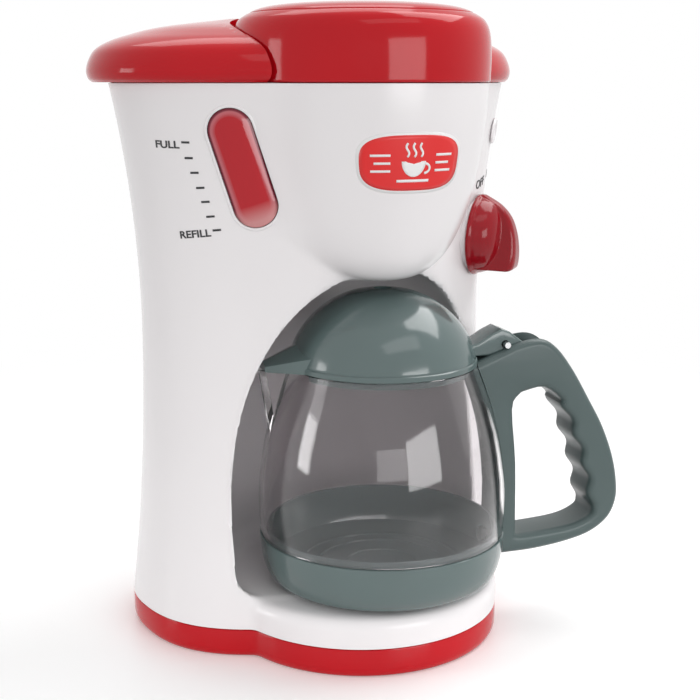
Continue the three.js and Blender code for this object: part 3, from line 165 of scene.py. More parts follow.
class CoffeeColours(bpy.types.PropertyGroup):
    white: bpy.props.FloatVectorProperty(
        name="White body", description="Gloss white plastic", subtype="COLOR", default=(0.835, 0.808, 0.816))
    red: bpy.props.FloatVectorProperty(
        name="Red lids and tray", description="Gloss red plastic", subtype="COLOR",
        default=(0.50, 0.003, 0.009))
    knob: bpy.props.FloatVectorProperty(
        name="Knob", description="Deep red plastic", subtype="COLOR", default=(0.28, 0.004, 0.010))
    grey: bpy.props.FloatVectorProperty(
        name="Jug parts", description="Grey-green plastic", subtype="COLOR", default=(0.097, 0.137, 0.135))
    print_ink: bpy.props.FloatVectorProperty(
        name="Printed marks", description="Dark ink of the scale and words", subtype="COLOR",
        default=(0.025, 0.025, 0.028))


def sizes():
    return bpy.context.scene.coffee_sizes


def colours():
    return bpy.context.scene.coffee_colours


# Modelling helpers


def deselect():
    if bpy.context.object and bpy.context.object.mode != "OBJECT":
        bpy.ops.object.mode_set(mode="OBJECT")
    bpy.ops.object.select_all(action="DESELECT")


def pick(*pieces):
    deselect()
    for piece in pieces:
        piece.select_set(True)
    bpy.context.view_layer.objects.active = pieces[0]
    return pieces[0]


def edit(piece, *steps):
    """Runs mesh operators on the whole piece in edit mode."""
    pick(piece)
    bpy.ops.object.mode_set(mode="EDIT")
    bpy.ops.mesh.select_all(action="SELECT")
    for step in steps:
        step()
    bpy.ops.object.mode_set(mode="OBJECT")
    return piece


def outward(piece, merge=1e-4):
    return edit(piece, lambda: bpy.ops.mesh.remove_doubles(threshold=merge),
                lambda: bpy.ops.mesh.normals_make_consistent(inside=False))


def modify(piece, kind, **settings):
    """Adds a modifier and applies it."""
    pick(piece)
    modifier = piece.modifiers.new(kind.title(), kind)
    for key, value in settings.items():
        setattr(modifier, key, value)
    bpy.ops.object.modifier_apply(modifier=modifier.name)
    return piece


def combine(piece, tools, operation, solver="MANIFOLD", keep=False):
    """Applies booleans one by one, with the exact solver where the quick one loses the piece."""
    for tool in tools:
        faces = len(piece.data.polygons)
        backup = piece.data.copy()
        modify(piece, "BOOLEAN", object=tool, operation=operation, solver=solver)
        if len(piece.data.polygons) == 0 and faces:
            piece.data = backup
            modify(piece, "BOOLEAN", object=tool, operation=operation, solver="EXACT")
        if len(piece.data.polygons) == 0:
            raise RuntimeError(f"{piece.name} vanished in a {operation.lower()}")
        if not keep:
            bpy.data.objects.remove(tool)
    return piece


def join(piece, *tools, **how):
    return combine(piece, tools, "UNION", **how)


def cut(piece, *tools, **how):
    return combine(piece, tools, "DIFFERENCE", **how)


def trim(piece, tool, keep=True):
    return combine(piece, [tool], "INTERSECT", keep=keep)


def link(thing):
    bpy.context.scene.collection.objects.link(thing)
    return thing


def copy_of(piece):
    twin = piece.copy()
    twin.data = piece.data.copy()
    return link(twin)


def mesh_piece(name, points, faces, edges=()):
    mesh = bpy.data.meshes.new(name)
    mesh.from_pydata([tuple(p) for p in points], list(edges), faces)
    return link(bpy.data.objects.new(name, mesh))


def loft(name, rings):
    """A circle extruded ring by ring, each ring then moved to its outline; the ends are closed."""
    count = len(rings[0])
    deselect()
    bpy.ops.mesh.primitive_circle_add(vertices=count, radius=1, fill_type="NGON")
    piece = bpy.context.object
    piece.name = name
    grow = {"value": (0, 0, 1)}
    edit(piece, *[lambda: bpy.ops.mesh.extrude_region_move(TRANSFORM_OT_translate=grow)] * (len(rings) - 1))
    for v in piece.data.vertices:
        level = round(v.co.z)
        step = round(math.atan2(v.co.y, v.co.x) / TAU * count) % count
        v.co = rings[level][step]
    return outward(piece)


def turned(name, profile, steps=None, closed=False):
    """A profile of (radius, height) spun round the upright axis."""
    steps = steps or sizes().spin_steps
    points = [(r, 0, z) for r, z in profile]
    edges = [(i, i + 1) for i in range(len(points) - 1)]
    if closed:
        edges.append((len(points) - 1, 0))
    piece = mesh_piece(name, points, [], edges)
    edit(piece, lambda: bpy.ops.mesh.spin(steps=steps, angle=TAU, center=(0, 0, 0), axis=(0, 0, 1)))
    return outward(piece)


def cylinder(radius, low, high, x=0, y=0, steps=48):
    deselect()
    bpy.ops.mesh.primitive_cylinder_add(vertices=steps, radius=radius, depth=high - low,
                                        location=(x, y, (low + high) / 2))
    piece = bpy.context.object
    bpy.ops.object.transform_apply(location=True, rotation=True, scale=True)
    return piece


def block(x0, x1, y0, y1, z0, z1, edge=0.0):
    deselect()
    bpy.ops.mesh.primitive_cube_add(size=1, location=((x0 + x1) / 2, (y0 + y1) / 2, (z0 + z1) / 2),
                                    scale=(x1 - x0, y1 - y0, z1 - z0))
    piece = bpy.context.object
    bpy.ops.object.transform_apply(location=True, rotation=True, scale=True)
    if edge:
        edit(piece, lambda: bpy.ops.mesh.bevel(offset=edge, segments=3, affect="EDGES"))
    return piece


def move(piece, matrix):
    piece.data.transform(matrix)
    piece.data.update()
    return piece


def prism(name, outline, low, high, edge=0.0):
    """An outline in the plane, extruded, with its long edges rounded."""
    piece = mesh_piece(name, [(x, y, low) for x, y in outline], [list(range(len(outline)))])
    rise = {"value": (0, 0, high - low)}
    edit(piece, lambda: bpy.ops.mesh.extrude_region_move(TRANSFORM_OT_translate=rise))
    outward(piece)
    if edge:
        bm = bmesh.new()
        bm.from_mesh(piece.data)
        rims = [e for e in bm.edges if abs(e.verts[0].co.z - e.verts[1].co.z) < 1e-5]
        bmesh.ops.bevel(bm, geom=rims, offset=edge, segments=4, affect="EDGES", profile=0.5)
        bm.to_mesh(piece.data)
        bm.free()
    return piece


def turn(degrees, axis, x=0, y=0, z=0):
    """A turn about one axis, then a shift."""
    return Matrix.Translation((x, y, z)) @ Matrix.Rotation(math.radians(degrees), 4, axis)


def along_y(piece, x, y, z):
    """Turns a piece that stands on Z so that it lies along +Y from the given point."""
    return move(piece, turn(-90, "X", x, y, z))


def smooth_path(points, steps):
    """Catmull-Rom points through the given plan points, ends kept."""
    p = [np.array(q, float) for q in points]
    p = [2 * p[0] - p[1], *p, 2 * p[-1] - p[-2]]
    out = []
    for i in range(1, len(p) - 2):
        for k in range(steps):
            t = k / steps
            a, b, c, d = p[i - 1:i + 3]
            out.append(0.5 * (2 * b + (c - a) * t + (2 * a - 5 * b + 4 * c - d) * t * t
                              + (3 * b - a - 3 * c + d) * t ** 3))
    out.append(p[-2])
    return [tuple(q) for q in out]


def round_corner(centre, radius, start, end, steps=8):
    return [(centre[0] + radius * math.cos(math.radians(start + (end - start) * i / steps)),
             centre[1] + radius * math.sin(math.radians(start + (end - start) * i / steps)))
            for i in range(steps + 1)]


def finish_piece(piece, name, body, finish, slot, *nodes, place=None, angle=35):
    """Scales a piece to metres, shades it, gives it its finish and seats it on its body."""
    move(piece, Matrix.Scale(MM, 4) @ (place or Matrix.Identity(4)))
    piece.name = name
    piece.data.name = name
    piece.data.materials.clear()
    piece.data.materials.append(FINISHES[finish])
    pick(piece)
    bpy.ops.object.shade_smooth_by_angle(angle=math.radians(angle))
    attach(piece, body)
    if nodes:
        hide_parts(*nodes)
    return piece


# The tower's form


def flare(z, foot, waist, crown):
    below = np.maximum(0, (WAIST_Z - z) / (WAIST_Z - TRAY_TOP))
    above = np.maximum(0, (z - WAIST_Z) / (BODY_TOP - WAIST_Z))
    return waist + (foot - waist) * below ** 2 + (crown - waist) * above ** 2


def half_x(z):
    return flare(z, FOOT[0], WAIST[0], CROWN[0])


def half_y(z):
    return flare(z, FOOT[1], WAIST[1], CROWN[1])


def power(z):
    return FOOT_POWER + (CROWN_POWER - FOOT_POWER) * np.clip((z - TRAY_TOP) / (BODY_TOP - TRAY_TOP), 0, 1)


def front_y(x, z):
    share = abs(x) / half_x(z)
    return TOWER_Y - half_y(z) * (1 - share ** power(z)) ** (1 / power(z))


def front_frame(x, z):
    """A frame on the tower's front: its Z leaves the wall and its Y runs up the wall."""
    step = 2.4
    point = lambda px, pz: Vector((px, front_y(px, pz), pz))
    across = (point(x + step, z) - point(x - step, z)).normalized()
    rise = (point(x, z + step) - point(x, z - step)).normalized()
    out = across.cross(rise).normalized()
    side = rise.cross(out).normalized()
    place = Matrix((side, rise, out)).transposed().to_4x4()
    place.translation = point(x, z)
    return place


def window_frame():
    return front_frame(*WINDOW) @ turn(WINDOW_TILT, "Z")


OVER_LOBE = Matrix.Translation((0, LOBE_Y, 0))


def oval(half_a, half_b, exponent, y, z, steps):
    bend = lambda t: math.copysign(abs(t) ** (2 / exponent), t)
    return [(half_a * bend(math.cos(TAU * i / steps)), y + half_b * bend(math.sin(TAU * i / steps)), z)
            for i in range(steps)]


def tower_solid(inset=0.0, low=TRAY_TOP, high=BODY_TOP):
    levels = 16
    heights = [low + (high - low) * i / levels for i in range(levels + 1)]
    return loft("tower",
                [oval(half_x(z) - inset, half_y(z) - inset, power(z), TOWER_Y, z, 96) for z in heights])


def head_profile(t):
    """Radius and forward lean of the head at a share of its depth below the body's top."""
    t = min(max(t, 0.0), 1.0)
    return HEAD_RADIUS * (1 - t ** HEAD_FALL) ** HEAD_ROUND, HEAD_LEAN * t ** HEAD_BOW


def head_solid(inset=0.0, top=BODY_TOP, steps=128):
    levels = 36
    bottom = HEAD_BOTTOM + inset
    rings = []
    for i in range(levels + 1):
        t = 1 - (1 - i / levels) ** 2 if i else 0
        radius, lean = head_profile(min(t, 0.9995))
        radius = max(radius - inset, 0.6)
        z = BODY_TOP - (BODY_TOP - bottom) * t
        rings.insert(0, oval(radius, radius, 2, LOBE_Y - lean, z, steps))
    if top > BODY_TOP:
        rings.append(oval(HEAD_RADIUS - inset, HEAD_RADIUS - inset, 2, LOBE_Y, top, steps))
    return loft("head", rings)


def bay_solid():
    profile = [(0, PLATE_TOP)]
    profile += round_corner((BAY_RADIUS - BAY_CORNER, PLATE_TOP + BAY_CORNER), BAY_CORNER, -90, 0)
    for i in range(25):
        a = math.pi / 2 * i / 24
        profile.append((BAY_RADIUS * max(math.cos(a), 0) ** (2 / BAY_POWER),
                        BAY_SHOULDER + (BAY_TOP - BAY_SHOULDER) * math.sin(a) ** (2 / BAY_POWER)))
    profile[-1] = (0, BAY_TOP)
    return move(turned("bay", profile, 96), OVER_LOBE)


def smooth_min(a, b, k):
    h = np.maximum(k - np.abs(a - b), 0) / k
    return np.minimum(a, b) - h * h * k / 4


def body_distance(p, blend, edge):
    """Signed distance, near the surface, of the white body with its soft valleys and rounded arch."""
    x, y, z = p[:, 0], p[:, 1], p[:, 2]

    def level(function):
        """A level function scaled so that its slope is one."""
        base = function(x, y, z)
        step = 0.05
        slope = np.sqrt((function(x + step, y, z) - base) ** 2 + (function(x, y + step, z) - base) ** 2
                        + (function(x, y, z + step) - base) ** 2) / step
        return base / np.maximum(slope, 1e-3)

    def tower(x, y, z):
        n = power(z)
        return (np.abs(x / half_x(z)) ** n + np.abs((y - TOWER_Y) / half_y(z)) ** n) ** (1 / n) - 1

    def head(x, y, z):
        t = (BODY_TOP - z) / (BODY_TOP - HEAD_BOTTOM)
        down = np.maximum(t, 0)
        reach = np.sqrt(x ** 2 + (y - LOBE_Y + HEAD_LEAN * np.minimum(down, 1.1) ** HEAD_BOW) ** 2)
        return (reach / HEAD_RADIUS) ** (1 / HEAD_ROUND) + down ** HEAD_FALL - 1

    def bay(x, y, z):
        reach = np.sqrt(x ** 2 + (y - LOBE_Y) ** 2)
        rise = np.maximum(z - BAY_SHOULDER, 0) / (BAY_TOP - BAY_SHOULDER)
        return ((reach / BAY_RADIUS) ** BAY_POWER + rise ** BAY_POWER) ** (1 / BAY_POWER) - 1

    def corner(across, up, radius):
        """Distance from a corner rounded by the radius."""
        outside = np.hypot(np.maximum(across, 0), np.maximum(up, 0))
        return outside + np.minimum(np.maximum(across, up), 0) - radius

    reach = np.sqrt(x ** 2 + (y - LOBE_Y) ** 2)
    lobe = corner(reach - (LOBE_RADIUS - PLATE_EDGE), z - (PLATE_TOP - PLATE_EDGE), PLATE_EDGE)
    foot = corner(reach - (BAY_RADIUS - BAY_CORNER), (PLATE_TOP + BAY_CORNER) - z, BAY_CORNER)
    room = np.where(z > BAY_SHOULDER, level(bay), foot)
    solid = smooth_min(level(tower), lobe, LOBE_BLEND)
    solid = -smooth_min(-solid, room, edge)
    soft = np.clip((z - VALLEY_FROM) / VALLEY_RISE, 0, 1)
    return smooth_min(solid, level(head), VALLEY_BLEND + (blend - VALLEY_BLEND) * soft)


def settle(piece, blend, edge):
    """Moves the vertices of a dense mesh onto the body's exact surface, with a light relaxing between."""
    rounds, pulls, probe, stride = 3, 6, 0.02, 1.2
    low, high = 8.5, 206.5
    for step in range(rounds):
        if step:
            modify(piece, "SMOOTH", factor=0.5, iterations=4)
        mesh = piece.data
        co = np.zeros(len(mesh.vertices) * 3)
        mesh.vertices.foreach_get("co", co)
        co = co.reshape(-1, 3)
        live = (co[:, 2] > low) & (co[:, 2] < high)
        p = co[live]
        for _ in range(pulls):
            base = body_distance(p, blend, edge)
            slope = np.stack([(body_distance(p + np.eye(3)[k] * probe, blend, edge) - base) / probe
                              for k in range(3)], axis=1)
            size = np.maximum((slope ** 2).sum(1), 0.05)
            p = p - np.clip(base / size, -stride, stride)[:, None] * slope
        co[live] = p
        mesh.vertices.foreach_set("co", co.ravel())
        mesh.update()
    return piece


def white_body():
    """The whole white form: tower, foot lobe and head joined, the bay cut out, every valley softened."""
    body = tower_solid(low=4, high=211)
    join(body, cylinder(LOBE_RADIUS, 4.2, PLATE_TOP, y=LOBE_Y, steps=96), solver="EXACT")
    cut(body, bay_solid(), solver="EXACT")
    join(body, head_solid(top=211.2, steps=96), solver="EXACT")
    modify(body, "REMESH", mode="VOXEL", voxel_size=sizes().voxel / MM)
    return settle(body, sizes().blend / MM, sizes().arch_edge / MM)


def slice_off(piece, point, normal):
    """Cuts away what lies on the side that the normal points to."""
    return edit(piece, lambda: bpy.ops.mesh.bisect(plane_co=point, plane_no=normal, clear_outer=True))


def hollow(piece):
    return modify(piece, "SOLIDIFY", thickness=sizes().wall / MM, offset=-1, use_rim=True,
                  use_even_offset=False)


def shell_of(body, front):
    part = copy_of(body)
    slice_off(part, (0, 0, TRAY_TOP), (0, 0, -1))
    slice_off(part, (0, 0, BODY_TOP), (0, 0, 1))
    slice_off(part, (0, SPLIT_Y if front else SPLIT_Y + GAP, 0), (0, 1 if front else -1, 0))
    return hollow(part)


# Materials


def feed(node, inputs):
    """Sets a node's inputs to values, or links them to other nodes' outputs."""
    for key, value in inputs.items():
        if isinstance(value, bpy.types.NodeSocket):
            node.id_data.links.new(value, node.inputs[key])
        else:
            node.inputs[key].default_value = value
    return node


def add_node(tree, kind, inputs=None, **settings):
    node = tree.nodes.new("ShaderNode" + kind)
    for key, value in settings.items():
        setattr(node, key, value)
    return feed(node, inputs or {})


def ramp(tree, share, *stops):
    """A colour ramp over a share, its stops given as position and colour."""
    node = add_node(tree, "ValToRGB", {"Fac": share})
    elements = node.color_ramp.elements
    while len(elements) < len(stops):
        elements.new(1.0)
    for element, (position, colour) in zip(elements, stops):
        element.position = position
        element.color = (*colour, 1)
    return node.outputs["Color"]


def material(name, colour, roughness=0.28, specular=0.5, grain=0.0, scale=900.0, mottle=0.02, coat=0.0,
             metallic=0.0, **sockets):
    """Moulded plastic or metal: slight colour and gloss variation and a fine surface ripple."""
    made = bpy.data.materials.new(name)
    made.use_nodes = True
    tree = made.node_tree
    place = add_node(tree, "TexCoord").outputs["Object"]
    cloud = add_node(tree, "TexNoise", {"Scale": 26.0, "Detail": 3.0, "Vector": place}).outputs["Fac"]
    base = Vector(colour[:3])
    gloss = add_node(tree, "MapRange",
                     {"To Min": roughness * 0.88, "To Max": roughness * 1.12, "Value": cloud})
    shader = feed(tree.nodes["Principled BSDF"], {
        "Base Color": ramp(tree, cloud, (0.3, base * (1 - mottle)), (0.7, base * (1 + mottle))),
        "Roughness": gloss.outputs["Result"], "Specular IOR Level": specular, "Metallic": metallic,
        "Coat Weight": coat, "Coat Roughness": 0.08,
        **{key.replace("_", " "): value for key, value in sockets.items()}})
    if grain:
        fine = add_node(tree, "TexNoise", {"Scale": scale, "Detail": 2.0, "Vector": place})
        bump = add_node(tree, "Bump", {"Strength": grain, "Distance": 0.0002, "Height": fine.outputs["Fac"]})
        feed(shader, {"Normal": bump.outputs["Normal"]})
    return made


def lens_material():
    """Clear red over a lit core: dark at the very edge, a pink margin, deep red inside, and a painted
    highlight, pale pink, at the foot.
    """
    made = material("lens_red", (0.40, 0.007, 0.017), 0.06, specular=0.36)
    tree = made.node_tree
    margin = add_node(tree, "Attribute", attribute_name="margin")
    parts = add_node(tree, "SeparateColor", {"Color": margin.outputs["Color"]}).outputs
    across = ramp(tree, parts["Red"], (0.0, (0.17, 0.012, 0.028)), (0.07, (0.19, 0.014, 0.03)),
                  (0.13, (0.52, 0.13, 0.15)), (0.2, (0.5, 0.11, 0.13)), (0.36, (0.46, 0.006, 0.014)))
    # Painted highlight: the lowest part of the window is mixed towards pale pink.
    down = ramp(tree, parts["Green"], (0.0, (0, 0, 0)), (0.8, (0, 0, 0)), (0.95, (1, 1, 1)))
    foot = add_node(tree, "Mix", {"Factor": down, "A": across, "B": (0.61, 0.26, 0.26, 1)}, data_type="RGBA")
    feed(tree.nodes["Principled BSDF"], {"Base Color": foot.outputs["Result"]})
    return made


FINISHES = {}


def make_finishes():
    c = colours()
    FINISHES.update(
        white=material("gloss_white", c.white, 0.24, specular=0.45, grain=0.03, mottle=0.006),
        inner_white=material("inner_white", [v * 0.93 for v in c.white], 0.4, grain=0.05, mottle=0.01),
        red=material("gloss_red", c.red, 0.1, specular=0.24, grain=0.025, mottle=0.03),
        knob=material("knob_red", c.knob, 0.12, specular=0.28, grain=0.02, mottle=0.04),
        grey=material("grey_green", c.grey, 0.13, specular=0.6, grain=0.03, mottle=0.03),
        # The handle's grey is darkened by a quarter as painted shade on its face; the satin gloss is its own.
        grey_satin=material("grey_green_satin_painted_shade", [v * 0.75 for v in c.grey], 0.32, specular=0.36, grain=0.06,
                            scale=1400, mottle=0.03),
        grey_matte=material("grey_green_matte", c.grey, 0.42, grain=0.1, mottle=0.04),
        ink=material("print_ink", c.print_ink, 0.45, grain=0.04),
        badge_red=material("badge_red", (0.72, 0.02, 0.02), 0.35, grain=0.03),
        badge_white=material("badge_white", (0.84, 0.83, 0.83), 0.35, grain=0.03),
        black=material("black_plastic", (0.022, 0.022, 0.025), 0.4, grain=0.08),
        hole=material("dark_recess", (0.012, 0.012, 0.013), 0.7, grain=0.05),
        steel=material("screw_steel", (0.55, 0.55, 0.56), 0.3, metallic=1.0, grain=0.06, scale=1800),
        spring=material("spring_steel", (0.62, 0.61, 0.6), 0.24, metallic=1.0, grain=0.03),
        board=material("board_green", (0.02, 0.13, 0.05), 0.5, grain=0.12, mottle=0.12),
        cell=material("cell_blue", (0.03, 0.09, 0.3), 0.3, coat=0.3, grain=0.03, mottle=0.05),
        lamp=material("lamp_clear", (0.9, 0.86, 0.82), 0.08, grain=0.02, Transmission_Weight=0.6),
        led=material("led_smoke", (0.06, 0.055, 0.06), 0.12, grain=0.02),
        glass=material("smoke_clear", (0.86, 0.835, 0.845), 0.03, mottle=0.004, Transmission_Weight=1.0,
                       IOR=1.46),
        lens=lens_material(),
        lens_inner=material("lens_inner", (0.42, 0.008, 0.014), 0.3, mottle=0.05, grain=0.05),
    )


CAD_FINISH = {
    "white": "front_housing rear_cover bay_liner battery_door indicator_ring",
    "inner_white": "brew_bowl knob_stem", "red": "base_tray rear_lid front_lid", "knob": "knob",
    "lens": "window_lens", "lens_inner": "window_backing", "lamp": "window_lamp", "led": "indicator_led",
    "black": "rotary_switch speaker speaker_clamp", "board": "circuit_board",
    "spring": "contact_spring_1 contact_spring_2", "cell": "cell_1 cell_2", "grey_matte": "filter_basket",
    "grey": "jug_cup jug_lid", "grey_satin": "jug_handle", "glass": "jug_glass",
}


def dress_frame():
    """Every node of the frame gets its finish; whatever isn't listed is a screw, pin or contact of steel."""
    finish_of = {name: finish for finish, names in CAD_FINISH.items() for name in names.split()}
    for name, node in NODES.items():
        node.data.materials.clear()
        node.data.materials.append(FINISHES[finish_of.get(name, "steel")])


# Operators: shells


class COFFEE_OT_finishes(bpy.types.Operator):
    """Make the plastics, metals and inks, and give the frame's own pieces theirs"""
    bl_idname = "coffee.finishes"
    bl_label = "Finishes"

    def execute(self, context):
        make_finishes()
        dress_frame()
        return {"FINISHED"}


class COFFEE_OT_shells(bpy.types.Operator):
    """Model the front housing with its head and bay, and the rear cover with door opening, wells and slots"""
    bl_idname = "coffee.shells"
    bl_label = "White shells"

    def execute(self, context):
        body = white_body()
        self.front(body)
        self.rear(body)
        bpy.data.objects.remove(body)
        return {"FINISHED"}

    def front(self, body):
        shell = shell_of(body, front=True)
        knob_place = front_frame(*KNOB)
        cut(shell,
            move(prism("hole", capsule(WINDOW_HALF, WINDOW_RADIUS + GAP), -6, 6), window_frame()),
            move(cylinder(3.8, -7, 6), front_frame(*INDICATOR)),
            move(cylinder(3.6, -8, 6), knob_place),
            cylinder(3.0, HEAD_BOTTOM - 6, HEAD_BOTTOM + 8, y=LOBE_Y - HEAD_LEAN))
        pad = turned("pad", [(3.6, -2.4), (13.8, -2.4), (13.8, 0.35), (13.55, 0.6), (3.6, 0.6)], closed=True)
        finish_piece(pad, "knob_pad", "machine", "white", "body_white", place=knob_place)
        finish_piece(shell, "front_shell", "machine", "white", "body_white", "front_housing", "bay_liner",
                     angle=40)

    def rear(self, body):
        shell = shell_of(body, front=False)
        deep = 40
        box = block(-BOX_HALF, BOX_HALF, BOX_INNER - 19.8, BOX_INNER + 6, 32.2, 92.7)
        join(box, block(-BOX_HALF, BOX_HALF, BOX_INNER - 4.5, BOX_INNER + 6, 90.9, 101.5),
             along_y(cylinder(4.4, 0, 12), 0, DOOR_SEAT - 10.4, DOOR_SCREW_Z))
        ring = turned("ring", [(12.1, 0), (14.5, 0), (14.5, 12), (12.1, 12)], closed=True)
        along_y(ring, 0, SPEAKER_Y, SPEAKER_Z)
        inner = tower_solid(inset=1.2)
        for part in (box, ring):
            join(shell, trim(part, inner))
        outer = tower_solid()
        for x, z in COVER_SCREWS:
            join(shell, trim(along_y(cylinder(4.5, 0, deep), x, SPLIT_Y + GAP, z), outer))
        for tool in (inner, outer):
            bpy.data.objects.remove(tool)
        door = self.door(body)
        cut(shell, *[along_y(cylinder(SCREW_HEAD, 0, deep), x, SPLIT_Y + 2.7, z) for x, z in COVER_SCREWS],
            *[along_y(cylinder(SCREW_PILOT, 0, deep), x, SPLIT_Y - 6, z) for x, z in COVER_SCREWS],
            block(-16.2, 16.2, BOX_INNER - 18, BOX_INNER + 12, 34, 90.9), self.opening(),
            along_y(cylinder(2.5, 0, 14), 0, DOOR_SEAT - 8, DOOR_SCREW_Z),
            *[along_y(prism("slot", slot_outline(7.5, 0.9), 0, 12), 0, SPEAKER_Y, SPEAKER_Z + (i - 2) * 4.2)
              for i in range(5)])
        finish_piece(shell, "rear_shell", "machine", "white", "body_white", "rear_cover", angle=40)
        finish_piece(door, "battery_lid", "back_door", "white", "body_white", "battery_door", angle=40)

    def opening(self):
        """The layer of the wall that the battery door fills, down to the ledge it rests on."""
        layer = block(-18.2, 18.2, 45, 80, 32, 99.7)
        cut(layer, tower_solid(inset=2.5))
        return layer

    def door(self, body):
        door = copy_of(body)
        slice_off(door, (0, 45, 0), (0, -1, 0))
        slice_off(door, (0, 0, 25), (0, 0, -1))
        slice_off(door, (0, 0, 108), (0, 0, 1))
        hollow(door)
        trim(door, along_y(prism("panel", rounded(-17.85, 17.85, -99.35, -32.35, 1.2), 0, 40), 0, 40, 0),
             keep=False)
        for x in (-9, 9):
            join(door, block(x - 2.5, x + 2.5, 63.2, 65.9, 32.35, 34.75),
                 block(x - 2.5, x + 2.5, 63.2, 64.9, 28, 34.75))
        groove_y = TOWER_Y + half_y(88) - 0.5
        cut(door, along_y(cylinder(SCREW_PILOT, 0, 14), 0, 58, DOOR_SCREW_Z),
            along_y(cylinder(SCREW_HEAD, 0, 14), 0, DOOR_SEAT - 0.3, DOOR_SCREW_Z),
            *[along_y(prism("groove", slot_outline(6 - i * 0.9, 0.45), 0, 4), 0, groove_y, 89 - i * 2)
              for i in range(4)])
        return door


def capsule(half, radius, steps=20):
    points = []
    for start, centre in ((0, half), (180, -half)):
        points += round_corner((0, centre), radius, start, start + 180, steps)
    return points


def slot_outline(half, radius):
    return [(y, x) for x, y in capsule(half - radius, radius, 6)][::-1]


def rounded(x0, x1, y0, y1, radius, steps=6):
    corners = (((x1 - radius, y0 + radius), -90), ((x1 - radius, y1 - radius), 0),
               ((x0 + radius, y1 - radius), 90), ((x0 + radius, y0 + radius), 180))
    return [p for centre, start in corners for p in round_corner(centre, radius, start, start + 90, steps)]


# Operators: red pieces


class COFFEE_OT_tray(bpy.types.Operator):
    """Model the red base tray that follows the tower and the foot plate, with its four screw wells"""
    bl_idname = "coffee.tray"
    bl_label = "Base tray"

    def execute(self, context):
        top = TRAY_TOP - GAP
        rings = [self.outline(5.0, 0.0)]
        for i in range(7):
            a = math.pi / 2 * i / 6
            rings.append(self.outline(2.2 * (1 - math.sin(a)), 3.5 * (1 - math.cos(a))))
        rings += [self.outline(0, top - 0.5), self.outline(0.15, top - 0.15), self.outline(0.5, top)]
        rings += [self.outline(2.3, top), self.outline(2.4, top - 0.4), self.outline(2.4, 4),
                  self.outline(4.4, 2.4)]
        tray = loft("tray", rings)
        whole = loft("whole", [self.outline(0.4, 0.2), self.outline(0.4, top)])
        for x, y in TRAY_SCREWS:
            join(tray, trim(cylinder(5.7, 0.4, top, x, y), whole))
        for x, y in TRAY_SCREWS:
            cut(tray, cylinder(SCREW_HEAD, -2, top - 2.4, x, y), cylinder(SCREW_PILOT, -2, top + 2, x, y))
        bpy.data.objects.remove(whole)
        finish_piece(tray, "tray", "machine", "red", "body_red", "base_tray")
        return {"FINISHED"}

    def outline(self, draw, z, steps=192):
        ring = []
        for i in range(steps):
            a = TAU * i / steps
            c, s = math.cos(a), math.sin(a)
            low, high = 0.0, 120.0
            for _ in range(40):
                r = (low + high) / 2
                x, y = r * c, -5 + r * s
                tower = (abs(x / (FOOT[0] - draw)) ** FOOT_POWER
                         + abs((y - TOWER_Y) / (FOOT[1] - draw)) ** FOOT_POWER) ** (1 / FOOT_POWER) - 1
                lobe = math.hypot(x, y - LOBE_Y) - (LOBE_RADIUS - draw)
                inside = float(smooth_min(np.float64(tower * 55), np.float64(lobe), LOBE_BLEND)) < 0
                low, high = (r, high) if inside else (low, r)
            ring.append((low * c, -5 + low * s, z))
        return ring


